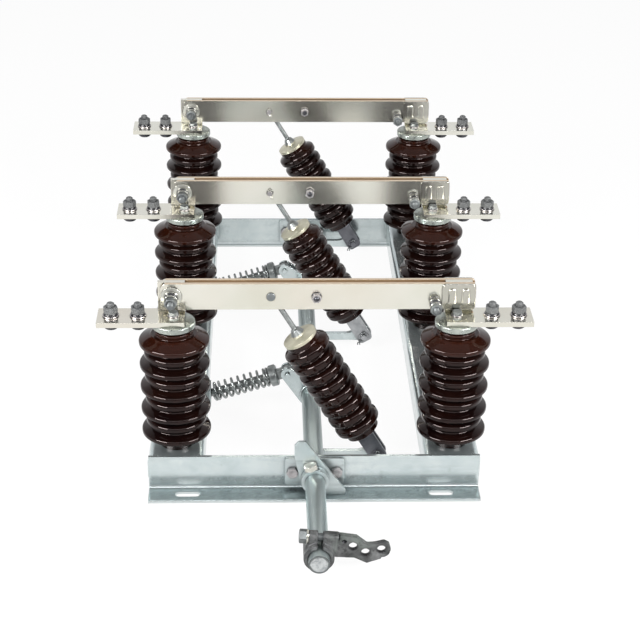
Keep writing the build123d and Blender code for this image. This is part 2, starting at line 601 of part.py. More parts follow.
def clamp_bolt():
    """The bolt that closes the operating crank's hub on the shaft, tapped into the right ear."""
    y = SHAFT_START + HUB_SETBACK + HUB_LENGTH / 2
    bolt = rod_x(CLAMP_BOLT_RADIUS, (EAR_LEFT, EAR_RIGHT - 2), y, CLAMP_BOLT_RISE)
    bolt += rod_x(10.5, (EAR_LEFT - 3, EAR_LEFT), y, CLAMP_BOLT_RISE)
    bolt += extrude(Plane.YZ.offset(EAR_LEFT - 13) * Pos(y, CLAMP_BOLT_RISE) * hexagon(CLAMP_BOLT_FLATS), 10)
    return Pos(0, 0, SHAFT_Z) * Rot(0, -CRANK_ANGLE, 0) * bolt


# ---------------------------------------------------------------- bearings
def bearing_holes(y):
    """The bolt holes of a bearing, as solids to cut away."""
    return [rod_y(BEARING_BOLT_RADIUS + 0.5, y, side * BEARING_BOLT_SPACING / 2, SHAFT_Z) for side in (-1, 1)]


def bearing(face, side, sleeve_radius, sleeve_length):
    """A flange against a leg's face with a round sleeve; side is 1 where the sleeve points to +Y."""
    span = sorted((face, face - BEARING_THICK))
    flange = plate_y(Pos(0, SHAFT_Z) * RectangleRounded(BEARING_WIDTH, BEARING_HEIGHT, BEARING_CORNER), span)
    sleeve_end = face + sleeve_length if side > 0 else face - BEARING_THICK - sleeve_length
    flange += rod_y(sleeve_radius, sorted((face, sleeve_end)), 0, SHAFT_Z)
    flange -= bearing_holes((span[0] - 1, span[1] + 1))
    reach = BEARING_THICK + sleeve_length + 1
    return flange - rod_y(SHAFT_RADIUS + RUNNING_GAP, (face - reach, face + reach), 0, SHAFT_Z)


def front_bearing():
    """A flange in front of the front angle, with a sleeve through it."""
    return bearing(-FACE_Y, 1, BEARING_SLEEVE_RADIUS, ANGLE_WALL + BEARING_OVERRUN)


def rear_bearing():
    """A flanged housing with a round boss and an oil hole, on the inside of the rear angle."""
    face = FACE_Y - ANGLE_WALL
    oil_hole = rod_z(OIL_HOLE_RADIUS, (SHAFT_Z, SHAFT_Z + BOSS_RADIUS + 1), 0, face - BEARING_THICK - BOSS_LENGTH / 2)
    return bearing(face, -1, BOSS_RADIUS, BOSS_LENGTH) - oil_hole


def bearing_bolt(side, low, high):
    """An M10 bolt along Y that clamps what lies between low and high."""
    x = side * BEARING_BOLT_SPACING / 2
    bolt = rod_y(BEARING_BOLT_RADIUS, (low, high + 12), x, SHAFT_Z)
    bolt += hex_y(BEARING_BOLT_FLATS, (low - BEARING_BOLT_HEAD, low), x, SHAFT_Z)
    return bolt + rod_y(10, (high, high + 2), x, SHAFT_Z) + hex_y(BEARING_BOLT_FLATS, (high + 2, high + 10), x, SHAFT_Z)


# ---------------------------------------------------------------- over-centre springs
def guide_plane(y):
    """Origin on the lever pin, Z back along the guide rod to the rail, Y along the shaft."""
    back = Vector(-RAIL_INNER_X - LEVER_PIN_X, 0, ANCHOR_HEIGHT - LEVER_PIN_Z).normalized()
    return Plane(origin=(LEVER_PIN_X, y, LEVER_PIN_Z), x_dir=Vector(0, 1, 0).cross(back), z_dir=back)


def spring_rod():
    """The guide rod with its eye and the collar that the spring pushes on."""
    half = LEVER_GAP / 2 - 1
    eye = plate_y(Circle(10) + Pos(0, COLLAR_START / 2) * Rectangle(2 * GUIDE_RADIUS + 3, COLLAR_START), (-half, half))
    collar = chamfer(rod_z(COLLAR_RADIUS, (COLLAR_START, COLLAR_END)).edges(), 1.5)
    rod = eye + collar + rod_z(GUIDE_RADIUS, (COLLAR_END, GUIDE_LENGTH + GUIDE_OVERRUN))
    return rod - rod_y(LEVER_PIN_RADIUS + 0.2, (-half, half))


def coil_spring():
    """The compression spring on the guide rod."""
    low = COLLAR_END + WIRE_RADIUS
    high = GUIDE_LENGTH - SEAT_THICK - COIL_RADIUS * sin(radians(GUIDE_ANGLE)) - 2 * WIRE_RADIUS
    path = Pos(0, 0, low) * Helix((high - low) / COIL_TURNS, high - low, COIL_RADIUS)
    wire = Plane(origin=path @ 0, z_dir=path % 0) * Circle(WIRE_RADIUS)
    return sweep(wire, path, is_frenet=True)


def spring_seat(y):
    """A ring on the rail's face that the spring bears on, with room for the rod to swing."""
    ring = Rectangle(2 * SEAT_RADIUS, 2 * SEAT_RADIUS)
    ring = fillet(ring.vertices(), 4) - Rot(0, 0, 90) * SlotOverall(GUIDE_SLOT_LENGTH, 2 * GUIDE_SLOT_RADIUS)
    return extrude(Plane.YZ.offset(-RAIL_INNER_X) * Pos(y, ANCHOR_HEIGHT) * ring, SEAT_THICK)


# ---------------------------------------------------------------- build
def build():
    os.makedirs("parts", exist_ok=True)
    front_angle = end_angle()
    save(front_angle, "front_angle")
    save(mirror(front_angle, Plane.XZ), "rear_angle")
    save(rail(-POST_X, True), "left_rail")
    save(rail(POST_X, False), "right_rail")

    for side, name in ((-1, "hinge"), (1, "contact")):
        save([post_insulator(side * POST_X, y) for y in POLE_YS], f"{name}_insulators")
        save([terminal(side, y) for y in POLE_YS], f"{name}_terminals")
    posts = [(side * POST_X, y) for side in (-1, 1) for y in POLE_YS]
    save([post_cap(x, y) for x, y in posts], "insulator_caps")
    save([fixing_bolt(x, y) for x, y in posts], "fixing_bolts")
    bolt_places = [(side * x, y) for side in (-1, 1) for x in terminal_bolt_xs() for y in POLE_YS]
    save([terminal_bolt(x, y) for x, y in bolt_places], "terminal_bolts")

    save(front_bearing(), "front_bearing")
    save(rear_bearing(), "rear_bearing")
    front = (-FACE_Y - BEARING_THICK, -FACE_Y + ANGLE_WALL)
    rear = (FACE_Y - ANGLE_WALL - BEARING_THICK, FACE_Y)
    save([bearing_bolt(side, *span) for span in (front, rear) for side in (-1, 1)], "bearing_bolts")
    save([spring_seat(y) for y in LEVER_YS], "spring_seats")

    save(rod_y(SHAFT_RADIUS, (SHAFT_START, FACE_Y + SHAFT_REAR), 0, SHAFT_Z), "shaft")
    save([pole_crank(y + BLADE_Y) for y in POLE_YS], "pole_cranks")
    save([spring_lever(y) for y in LEVER_YS], "spring_levers")
    save(stop_plate(), "stop_plate")
    save(operating_crank(), "operating_crank")
    save([clamp_bolt(), set_bolt()], "clamp_bolt")

    for number, y in enumerate(POLE_YS, 1):
        blade_y = y + BLADE_Y
        save(blade_strips(blade_y), f"blade_strips_{number}")
        save(lock_plates(blade_y), f"lock_plates_{number}")
        save(blade_bolts(blade_y), f"blade_bolts_{number}")
        place = link_plane(blade_y).location
        save(place * pull_fork(), f"pull_fork_{number}")
        save(place * pull_insulator(), f"pull_insulator_{number}")
        save(place * pull_rod(), f"pull_rod_{number}")

    for number, y in enumerate(LEVER_YS, 1):
        place = guide_plane(y).location
        save(place * spring_rod(), f"spring_rod_{number}")
        save(place * coil_spring(), f"coil_spring_{number}")

    print("hinge", HINGE_X, BLADE_Z, "pull pin", PULL_PIN_X, "crank pin", CRANK_PIN_X, CRANK_PIN_Z)
    print("shaft z", SHAFT_Z, "lever pin", LEVER_PIN_X, LEVER_PIN_Z, "guide", GUIDE_ANGLE, GUIDE_LENGTH)
    print("link", LINK_LENGTH, "blade y", BLADE_Y, "pole ys", POLE_YS, "lever ys", LEVER_YS)


build()
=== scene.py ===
"""Looks for a three-pole disconnect switch: glazed porcelain posts, tinned copper blades and a
galvanised frame. Lengths are in metres, X along the blades, Y along the shaft, Z up. Turned parts
are drawn in millimetres, and scaled when their meshes are made."""

import json
from functools import partial
from math import copysign, cos, pi, radians, sin, sqrt, tan

import bmesh
import bpy
from mathutils import Matrix, Vector
from mathutils.kdtree import KDTree

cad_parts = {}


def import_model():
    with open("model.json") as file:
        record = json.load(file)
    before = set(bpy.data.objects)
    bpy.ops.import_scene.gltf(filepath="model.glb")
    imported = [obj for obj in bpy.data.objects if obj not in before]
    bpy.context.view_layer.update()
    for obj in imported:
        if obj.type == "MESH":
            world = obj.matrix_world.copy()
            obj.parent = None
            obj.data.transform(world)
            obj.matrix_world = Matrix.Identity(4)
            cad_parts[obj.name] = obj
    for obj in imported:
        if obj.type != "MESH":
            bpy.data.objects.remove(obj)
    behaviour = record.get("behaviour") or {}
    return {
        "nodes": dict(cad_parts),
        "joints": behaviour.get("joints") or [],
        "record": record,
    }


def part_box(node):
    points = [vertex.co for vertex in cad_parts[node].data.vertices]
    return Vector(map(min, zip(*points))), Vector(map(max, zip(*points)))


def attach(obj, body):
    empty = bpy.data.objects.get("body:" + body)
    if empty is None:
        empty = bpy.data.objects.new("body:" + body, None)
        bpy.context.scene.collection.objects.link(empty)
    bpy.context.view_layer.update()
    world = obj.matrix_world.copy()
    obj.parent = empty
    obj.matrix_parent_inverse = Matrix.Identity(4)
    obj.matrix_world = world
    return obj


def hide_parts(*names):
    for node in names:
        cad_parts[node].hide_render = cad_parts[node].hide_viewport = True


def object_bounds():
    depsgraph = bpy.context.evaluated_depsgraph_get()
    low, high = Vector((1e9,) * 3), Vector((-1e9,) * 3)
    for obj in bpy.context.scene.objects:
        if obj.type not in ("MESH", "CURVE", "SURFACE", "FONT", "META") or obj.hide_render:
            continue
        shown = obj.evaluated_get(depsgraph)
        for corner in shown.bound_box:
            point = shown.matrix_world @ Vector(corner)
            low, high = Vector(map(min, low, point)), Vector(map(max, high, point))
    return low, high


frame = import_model()
cad_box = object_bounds()
nodes = frame["nodes"]
pivots = {joint["name"]: joint["pos_m"] for joint in frame["joints"]}
mounts = {mount["name"]: mount["pos_m"] for mount in frame["record"]["mounts"]}

MM = 0.001
FRONT, REAR, UP = (0, -1, 0), (0, 1, 0), (0, 0, 1)
POLES, SPRINGS = (1, 2, 3), (1, 2)
CAP_RADIUS = 32 * MM
BAR_THICKNESS = 8 * MM
POST_TO_BLADE = 20 * MM  # along Y, from a post's axis to its blade's centre plane
STRIP_FACE = 9.7 * MM  # from a blade's centre plane to the outside of a strip
PULL_REACH = 147 * MM  # from a blade's hinge to its pull pin

post_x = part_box("insulator_caps")[1][0] - CAP_RADIUS
(_, _, bar_low), (bar_end, _, _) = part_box("contact_terminals")
bar_top = bar_low + BAR_THICKNESS
blade_ys = [pivots[f"blade_hinge_{number}"][1] for number in POLES]
pole_ys = [y - POST_TO_BLADE for y in blade_ys]
hinge_x, _, blade_z = pivots["blade_hinge_1"]
shaft_z = pivots["shaft_turn"][2]
shaft_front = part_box("shaft")[0][1]


def link_object(name, data):
    """A new object in the scene, at the origin."""
    made = bpy.data.objects.new(name, data)
    bpy.context.scene.collection.objects.link(made)
    return made


# ---- camera
CAMERA_PLACE = (-0.0751, -2.5505, 1.3956)
CAMERA_PITCH, CAMERA_YAW, CAMERA_ROLL = 27.584, 2.175, 0.868  # degrees
SENSOR_WIDTH, FOCAL_LENGTH = 36, 92.239  # millimetres


def camera():
    """The camera: level and facing along Y before its three turns."""
    pitch, yaw, roll = map(radians, (CAMERA_PITCH, CAMERA_YAW, CAMERA_ROLL))
    data = bpy.data.cameras.new("camera")
    data.sensor_width, data.lens = SENSOR_WIDTH, FOCAL_LENGTH
    data.clip_start, data.clip_end = 0.05, 50
    view = link_object("camera", data)
    view.matrix_world = (Matrix.Translation(CAMERA_PLACE) @ Matrix.Rotation(-yaw, 4, "Z")
                         @ Matrix.Rotation(pi / 2 - pitch, 4, "X")
                         @ Matrix.Rotation(roll, 4, "Z"))
    bpy.context.scene.camera = view


# ---- node trees
class Wiring:
    """A node tree under construction."""

    def __init__(self, tree):
        self.tree = tree

    def feed(self, socket, value):
        """Links an output to a socket or sets the socket's own value; None leaves it alone."""
        if isinstance(value, bpy.types.NodeSocket):
            self.tree.links.new(value, socket)
        elif value is not None:
            socket.default_value = value

    def node(self, kind, *values, **named):
        """Adds a node and gives its outputs. Values go to its inputs in order, capitalised names
        to the inputs so called, and other names are its settings."""
        made = self.tree.nodes.new(kind)
        inputs = dict(enumerate(values))
        for name, value in named.items():
            if name[0].isupper():
                inputs[name.replace("_", " ")] = value
            else:
                setattr(made, name, value)
        for name, value in inputs.items():
            self.feed(made.inputs[name], value)
        return made.outputs

    def math(self, kind, *values):
        return self.node("ShaderNodeMath", *values, operation=kind)[0]

    def times(self, a, b):
        return self.math("MULTIPLY", a, b)

    def vector(self, kind, *values, **named):
        return self.node("ShaderNodeVectorMath", *values, operation=kind, **named)

    def span(self, value, low, high, from_low=0.0, from_high=1.0):
        """Maps the value from one range to another, and stops at both ends."""
        return self.node("ShaderNodeMapRange", value, from_low, from_high, low, high)[0]


class Finish(Wiring):
    """A material under construction. Patterns follow the piece's own coordinates."""

    def __init__(self, name):
        self.material = bpy.data.materials.new(name)
        self.material.use_nodes = True
        super().__init__(self.material.node_tree)
        self.place = self.node("ShaderNodeTexCoord")["Object"]

    def done(self, **inputs):
        """Sets the colour and the shader's other inputs, and gives the material."""
        shader = self.tree.nodes["Principled BSDF"]
        for name, value in {"Base_Color": self.colour, **inputs}.items():
            self.feed(shader.inputs[name.replace("_", " ")], value)
        return self.material

    def stretched(self, scale):
        return self.node("ShaderNodeMapping", Vector=self.place, Scale=scale)[0]

    def axis(self, letter):
        return self.node("ShaderNodeSeparateXYZ", self.place)[letter]

    def from_axis(self, x, z):
        """The distance from a line that runs along Y."""
        return self.vector("DISTANCE", self.stretched((1, 0, 1)), (x, 0, z))["Value"]

    def noise(self, scale, detail=4.0, roughness=0.55, vector=None):
        return self.node("ShaderNodeTexNoise", Vector=vector or self.place, Scale=scale,
                         Detail=detail, Roughness=roughness)["Fac"]

    def cells(self, scale, channel):
        """Crystals: the distance from each one's middle, and a random share for each."""
        made = self.node("ShaderNodeTexVoronoi", Vector=self.place, Scale=scale)
        return made["Distance"], self.node("ShaderNodeSeparateColor", made["Color"])[channel]

    def ramp(self, value, *stops):
        """Colours by value, from (position, colour) stops."""
        made = self.tree.nodes.new("ShaderNodeValToRGB")
        self.feed(made.inputs["Fac"], value)
        elements = made.color_ramp.elements
        while len(elements) < len(stops):
            elements.new(0.5)
        for element, (at, colour) in zip(elements, stops):
            element.position, element.color = at, colour
        return made.outputs["Color"]

    def mask(self, value, low, high, most=1.0):
        """Rises from 0 at low to most at high."""
        return self.ramp(value, (low, (0, 0, 0, 1)), (high, (most, most, most, 1)))

    def mix(self, share, a, b):
        return self.node("ShaderNodeMix", share, *[None] * 5, a, b, data_type="RGBA")[2]

    def paint(self, share, colour):
        """Lays a share of a colour over the finish's colour."""
        self.colour = self.mix(share, self.colour, colour)

    def soft_edges(self, radius):
        return self.node("ShaderNodeBevel", Radius=radius, samples=4)[0]

    def bump(self, height, distance, strength, radius=None):
        """A bumped normal, over soft edges where a radius is given."""
        return self.node("ShaderNodeBump", Height=height, Distance=distance, Strength=strength,
                         Normal=self.soft_edges(radius) if radius else None)[0]

    def painted_crevice_shade(self, distance, most):
        """Painted shade where two surfaces meet, from ambient occlusion, 0 on open faces."""
        shade = self.node("ShaderNodeAmbientOcclusion", Distance=distance, samples=6)["AO"]
        return self.span(shade, most, 0.0, 0.3, 0.85)

    def edge_mask(self, radius):
        """1 where the surface turns within the radius, 0 on flats."""
        plain = self.node("ShaderNodeNewGeometry")["Normal"]
        cosine = self.vector("DOT_PRODUCT", plain, self.soft_edges(radius))["Value"]
        return self.span(cosine, 1.0, 0.0, 0.8, 0.995)


def rgb(r, g, b, shade=1.0):
    """A colour from its screen values, 0 to 255, as the shader wants it."""
    linear = (((v / 255 + 0.055) / 1.055) ** 2.4 if v > 10 else v / 3295 for v in (r, g, b))
    return (*(v * shade for v in linear), 1)


# ---- finishes
PAINTED_TOP_LIGHT = (0.222, 0.25)  # the heights between which the glaze is painted redder: painted light from above on the top shed
BARE_TOP = (0.0008, 0.0003)  # bare copper below a strip's top edge: where it starts, and is full
INNER_FACE = (0.0043, 0.0046)  # from a blade's centre plane: bare copper ends, and tin begins
SAWN_END = (0.0004, 0.0008)  # behind the shaft's front end: the sawn face ends, and zinc begins
SAWN_RIM = (0.0134, 0.015)  # from the shaft's axis: the sawn face's dark rim
HOLE_GREASE = (0.0062, 0.007)  # from a rod hole's axis: grease, and then clean metal
ROD_START = (0.2435, 0.245)  # along a pull link from its crank pin: the cap ends, the rod begins
SLOT_TOP = (0.0034, 0.0046)  # the lighter walls of the foot's slots end
FOOT_TOP = (0.0052, 0.0085)  # the foot's top, painted darker as a painted reflection between foot and leg, ends
CORNER_HEIGHT = 0.0078  # the height of the lighter, broken line along the angle's inner corner


def glaze():
    """Dark brown glaze with a few pale flecks, painted redder on the top shed as painted light from
    above, and painted shade in its crevices.
    """
    f = Finish("brown_glaze")
    f.colour = f.ramp(f.noise(14.0, 3.0), (0.32, rgb(6, 2, 2)), (0.68, rgb(17, 6, 4)))
    # painted light: the top shed is painted redder, standing in for light from above
    f.paint(f.span(f.axis("Z"), 0.0, 0.8, *PAINTED_TOP_LIGHT), rgb(34, 12, 5))
    fleck = f.mask(f.noise(520.0, 2.0), 0.71, 0.79)
    f.paint(f.times(fleck, 0.4), rgb(58, 28, 18))
    # painted shade in the gaps under the cap and between the sheds
    f.paint(f.painted_crevice_shade(0.007, 0.9), rgb(4, 2, 2))
    return f.done(Roughness=0.06, IOR=1.45, Specular_IOR_Level=0.37,
                  Specular_Tint=(1.0, 0.84, 0.82, 1),
                  Normal=f.bump(f.noise(45.0, 2.0), 0.0008, 0.35))


def foot_and_corner_tones(f, tint, corner_shade):
    """The end angles: the foot's top is a painted reflection, darker; the slot walls and a broken
    line along the inner corner are lighter, and the painted corner shade is lifted from them.
    """
    height = f.axis("Z")
    low = f.span(height, 1.0, 0.0, *SLOT_TOP)
    off = f.math("ABSOLUTE", f.math("SUBTRACT", height, CORNER_HEIGHT))
    broken = f.span(f.noise(6.0, 2.0), 0.25, 1.0, 0.4, 0.52)
    corner_line = f.times(f.span(off, 0.8, 0.0, 0.0006, 0.002), broken)
    lightened = f.math("MAXIMUM", low, corner_line)
    # painted reflection: the foot and the leg's lowest part are painted darker, as if mirroring
    # each other
    f.paint(f.span(height, 0.8, 0.0, *FOOT_TOP), tint(150, 162, 163))
    f.paint(lightened, f.mix(low, tint(226, 234, 236), tint(205, 212, 212)))
    return f.times(corner_shade, f.math("SUBTRACT", 1.0, lightened))


def galvanised(name, tone, rough=0.18, edge=0.0006, stain=0.35, corner=False):
    """Hot-dip zinc: faint crystals, vertical runs, dull patches, painted shade in corners, which
    are also rougher, dark specks.
    """
    f = Finish(name)
    tint = partial(rgb, shade=tone)
    _, crystals = f.cells(85.0, 0)
    streak = f.noise(26.0, 4.0, 0.6, f.stretched((0.2, 0.2, 2.5)))
    cloud = f.noise(9.0, 5.0, 0.6)
    f.colour = f.ramp(cloud, (0.3, tint(186, 198, 199)), (0.7, tint(215, 223, 223)))
    f.paint(f.times(crystals, 0.12), tint(236, 242, 241))
    f.paint(f.mask(streak, 0.55, 0.78, stain), tint(150, 160, 160))
    dull_patches = f.mask(f.noise(38.0, 6.0, 0.7), 0.58, 0.74, stain)
    f.paint(dull_patches, tint(140, 150, 149))
    # painted shade: ambient occlusion darkens the corners, and also makes them rougher
    corner_shade = f.painted_crevice_shade(0.026, 0.8 if corner else 0.5)
    if corner:
        corner_shade = foot_and_corner_tones(f, tint, corner_shade)
    f.paint(corner_shade, tint(82, 94, 98))
    if not corner:
        # painted shade in the tightest crevices
        f.paint(f.painted_crevice_shade(0.004, 0.75), tint(58, 64, 62))
    from_middle, chance = f.cells(75.0, 1)
    rare = f.span(chance, 0.0, 1.0, 0.955, 0.965)
    speck = f.times(rare, f.span(from_middle, 0.9, 0.0, 0.05, 0.12))
    f.paint(speck, tint(44, 46, 46))
    skin = f.span(f.noise(48.0, 4.0, 0.6), rough - 0.08, rough + 0.1)
    return f.done(Metallic=0.88, Roughness=f.math("ADD", skin, f.times(corner_shade, 0.35)),
                  Normal=f.bump(f.noise(60.0, 3.0), 0.0005, 0.16, edge))


def tinned(name, inner=False, edge=0.0005, shade=1.0):
    """Tinned copper, drawn along X. Inner faces and cut tops can show the warm bare copper."""
    f = Finish(name)
    tint = partial(rgb, shade=shade)
    drawn = f.noise(60.0, 4.0, 0.6, f.stretched((0.5, 14.0, 14.0)))
    cloud = f.noise(7.0, 3.0)
    f.colour = f.ramp(cloud, (0.3, tint(208, 206, 193)), (0.7, tint(220, 219, 210)))
    f.paint(f.mask(f.noise(5.0, 2.0), 0.45, 0.75, 0.4), tint(222, 210, 198))
    metallic, rough = 1.0, f.span(drawn, 0.12, 0.22)
    if inner:
        half_pitch = (blade_ys[1] - blade_ys[0]) / 2
        from_first = f.math("SUBTRACT", f.axis("Y"), blade_ys[0])
        across = f.math("ABSOLUTE", f.math("WRAP", from_first, half_pitch, -half_pitch))
        inside = f.span(across, 1.0, 0.0, *INNER_FACE)
        copper = f.ramp(f.noise(9.0, 3.0), (0.3, rgb(150, 118, 86)), (0.7, rgb(170, 142, 108)))
        f.paint(inside, copper)
        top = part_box("blade_strips_1")[1][2]
        cut = f.span(f.axis("Z"), 0.0, 0.6, *(top - below for below in BARE_TOP))
        f.paint(cut, rgb(206, 176, 138))
        metallic, rough = f.span(inside, 0.95, 0.7), f.span(cloud, 0.12, 0.2)
    # lighter, near white, on edges
    f.paint(f.times(f.edge_mask(0.0012), 0.3), rgb(250, 248, 240))
    # painted shade in the crevices
    f.paint(f.painted_crevice_shade(0.0035, 0.85), rgb(70, 66, 56))
    return f.done(Metallic=metallic, Roughness=rough, Normal=f.bump(drawn, 0.00006, 0.3, edge))


def shaft_zinc():
    """The shaft: drawn streaks along it, and a bright sawn front end with a dark rim."""
    f = Finish("shaft_zinc")
    streak = f.noise(70.0, 4.0, 0.6, f.stretched((1.0, 0.05, 1.0)))
    cloud = f.noise(16.0, 4.0)
    f.colour = f.ramp(streak, (0.3, rgb(146, 156, 157)), (0.7, rgb(176, 186, 185)))
    f.paint(f.times(cloud, 0.4), rgb(166, 175, 174))
    # painted shade in the crevices where parts meet the shaft
    f.paint(f.painted_crevice_shade(0.006, 0.8), rgb(52, 56, 54))
    end = f.span(f.axis("Y"), 1.0, 0.0, *(shaft_front + behind for behind in SAWN_END))
    ragged = f.math("ADD", f.from_axis(0, shaft_z), f.times(f.noise(160.0, 3.0), 0.004))
    sawn = f.ramp(f.noise(110.0, 5.0, 0.7), (0.35, rgb(122, 126, 128)), (0.6, rgb(180, 183, 183)))
    sawn = f.mix(f.span(ragged, 0.0, 0.9, *SAWN_RIM), sawn, rgb(84, 88, 88))
    f.paint(end, sawn)
    return f.done(Metallic=f.span(end, 0.9, 0.8), Roughness=f.span(cloud, 0.32, 0.46),
                  Normal=f.bump(f.noise(90.0, 3.0), 0.0003, 0.2, 0.001))


def plain_metal(name, dark, light, rough, metallic=0.85, edge_share=0.3):
    """A small part's metal: clouded between two tones, brighter on edges, with near-black painted
    shade in crevices.
    """
    f = Finish(name)
    cloud = f.noise(60.0, 5.0, 0.6)
    edge_tone = rgb(*(min(255, v + 45) for v in light))
    f.colour = f.ramp(cloud, (0.32, rgb(*dark)), (0.68, rgb(*light)))
    # lighter on edges
    f.paint(f.times(f.edge_mask(0.0008), edge_share), edge_tone)
    # painted shade in the crevices
    f.paint(f.painted_crevice_shade(0.005, 0.85), rgb(26, 26, 28))
    return f.done(Metallic=metallic, Roughness=f.span(cloud, rough - 0.06, rough + 0.08),
                  Normal=f.bump(f.noise(260.0, 3.0), 0.0003, 0.4, 0.0004))


def cast_grey():
    """A rough casting: blotches, greenish patches, soot, dark edges, painted shade in its sand hole
    and crevices, black grease in its holes.
    """
    f = Finish("grey_casting")
    blotch = f.noise(38.0, 6.0, 0.68)
    f.colour = f.ramp(blotch, (0.34, rgb(40, 41, 41)), (0.5, rgb(76, 77, 77)),
                      (0.66, rgb(108, 109, 109)))
    f.paint(f.mask(f.noise(26.0, 4.0), 0.52, 0.66, 0.6), rgb(106, 114, 108))
    f.paint(f.mask(f.noise(120.0, 5.0, 0.7), 0.58, 0.66, 0.8), rgb(42, 43, 44))
    # dark edges, and painted shade in the sand hole, from the mesh's attribute
    rim = f.node("ShaderNodeAttribute", attribute_name="rim")["Fac"]
    uneven = f.span(f.noise(90.0, 4.0), 0.5, 1.0, 0.35, 0.6)
    f.paint(f.times(rim, uneven), rgb(38, 38, 42))
    for name, (x, _, z) in mounts.items():
        if name.startswith("rod_hole"):
            wall = f.span(f.from_axis(x, z), 0.9, 0.0, *HOLE_GREASE)
            f.paint(wall, rgb(22, 22, 23))
    # painted shade in the crevices
    f.paint(f.painted_crevice_shade(0.005, 0.8), rgb(34, 34, 36))
    return f.done(Metallic=0.55, Roughness=f.span(blotch, 0.36, 0.58),
                  Normal=f.bump(f.noise(300.0, 4.0, 0.7), 0.0006, 0.6))


def link_metal():
    """The pull rod: a pale cap and then a grey rod, by their distance along the link."""
    f = Finish("link_rod_steel")
    crank_pin = Vector(pivots["link_pin_1"])
    pull_pin = Vector((hinge_x + PULL_REACH, crank_pin.y, blade_z))
    way = (pull_pin - crank_pin).normalized()
    from_pin = f.vector("SUBTRACT", f.place, (crank_pin.x, 0, crank_pin.z))[0]
    reach = f.vector("DOT_PRODUCT", from_pin, (way.x, 0, way.z))["Value"]
    cloud = f.noise(55.0, 5.0, 0.6)
    cap = f.ramp(cloud, (0.32, rgb(172, 168, 147)), (0.68, rgb(198, 194, 175)))
    rod = f.ramp(cloud, (0.32, rgb(116, 119, 119)), (0.68, rgb(150, 153, 152)))
    f.colour = f.mix(f.span(reach, 0.0, 1.0, *ROD_START), cap, rod)
    return f.done(Metallic=0.85, Roughness=f.span(cloud, 0.24, 0.4),
                  Normal=f.bump(f.noise(240.0, 3.0), 0.0003, 0.4, 0.0005))


porcelain, cast_iron = glaze(), cast_grey()
# painted light: a lighter copy of the tinned copper, brightening the terminal bars' tops and the
# ovals' rims
lightened_tin = tinned("tinned_copper", shade=1.07)
dull = plain_metal("dull_zinc", (88, 91, 92), (116, 120, 120), 0.46, metallic=0.75)
bright = plain_metal("bright_zinc", (168, 168, 160), (200, 199, 190), 0.22)
black = plain_metal("black_steel", (58, 58, 62), (82, 82, 86), 0.34)
head_zinc = plain_metal("head_zinc", (140, 136, 138), (176, 172, 172), 0.34)
matt_zinc = plain_metal("matt_zinc", (68, 69, 70), (90, 91, 91), 0.62, metallic=0.25)
spring_wire = plain_metal("spring_wire", (128, 131, 131), (164, 168, 167), 0.26)
weld_metal = galvanised("weld_zinc", 0.9, rough=0.4, edge=0.0003)
fitting_zinc = galvanised("fitting_zinc", 0.8, rough=0.3, edge=0.0008, stain=0.7)
angle_zinc = galvanised("angle_zinc", 0.85, corner=True)

slot_finishes = {
    "porcelain": porcelain,
    "galvanised": galvanised("galvanised", 0.88),
    "tinned_copper": lightened_tin,
    "cap_metal": plain_metal("zinc_cap", (138, 144, 139), (170, 175, 168), 0.26),
    "bolt_zinc": dull,
    "cast_iron": cast_iron,
    "dark_steel": plain_metal("fork_steel", (84, 85, 90), (108, 109, 114), 0.36, edge_share=0.5),
    "spring_steel": spring_wire,
}
# nodes, or rows of numbered nodes, that differ from their slot's finish
own_finishes = {
    "blade_strips": tinned("tinned_strips", inner=True),
    # painted shade: the lock plates are a darker copy of the tinned copper
    "lock_plates": tinned("pressed_plates", edge=0.0016, shade=0.74),
    "pull_rod": link_metal(),
    "pull_fork_2": plain_metal("fork_zinc", (136, 138, 140), (168, 170, 172), 0.34),
    "spring_rod": plain_metal("rod_zinc", (118, 122, 122), (154, 158, 157), 0.34),
    "shaft": shaft_zinc(),
    **dict.fromkeys(("stop_plate", "front_bearing", "rear_bearing"), fitting_zinc),
    **dict.fromkeys(("front_angle", "rear_angle"), angle_zinc),
}


def dress_nodes():
    """Gives every CAD node its own finish, its row's or its slot's."""
    slots = {part["node"]: part["material_slot"] for part in frame["record"]["subparts"]}
    for name, piece in nodes.items():
        row = name.rstrip("_0123456789")
        material = own_finishes.get(name, own_finishes.get(row, slot_finishes[slots[name]]))
        piece.data.materials.clear()
        piece.data.materials.append(material)


# ---- turned parts
SIXTH_TURN = pi / 3
CHAMFER_START = 0.97  # of half a hexagon's width across flats
CHAMFER_RISE = tan(radians(30))
SOFT_RIM = 0.7  # round a nut's bore


def finished(shape):
    """A mesh in metres, from a shape drawn in millimetres."""
    bmesh.ops.recalc_face_normals(shape, faces=shape.faces)
    mesh = bpy.data.meshes.new("part")
    shape.to_mesh(mesh)
    shape.free()
    mesh.transform(Matrix.Scale(MM, 4))
    return mesh


def turned(*profile, sides=48, reach=None, hollow=False):
    """A shape turned from (radius, height) points round Z; reach may move a point at an angle,
    and a hollow profile joins its own ends instead of meeting the axis."""
    shape, rings = bmesh.new(), []
    for radius, height in profile:
        if radius == 0:
            rings.append([shape.verts.new((0, 0, height))])
            continue
        ring = []
        for k in range(sides):
            angle = 2 * pi * k / sides
            r, z = reach(angle, radius, height) if reach else (radius, height)
            ring.append(shape.verts.new((r * cos(angle), r * sin(angle), z)))
        rings.append(ring)
    if hollow:
        rings.append(rings[0])
    for a, b in zip(rings, rings[1:]):
        for k in range(sides):
            n = (k + 1) % sides
            corners = [a[0]] if len(a) == 1 else [a[k], a[n]]
            corners += [b[0]] if len(b) == 1 else [b[n], b[k]]
            shape.faces.new(corners)
    return finished(shape)


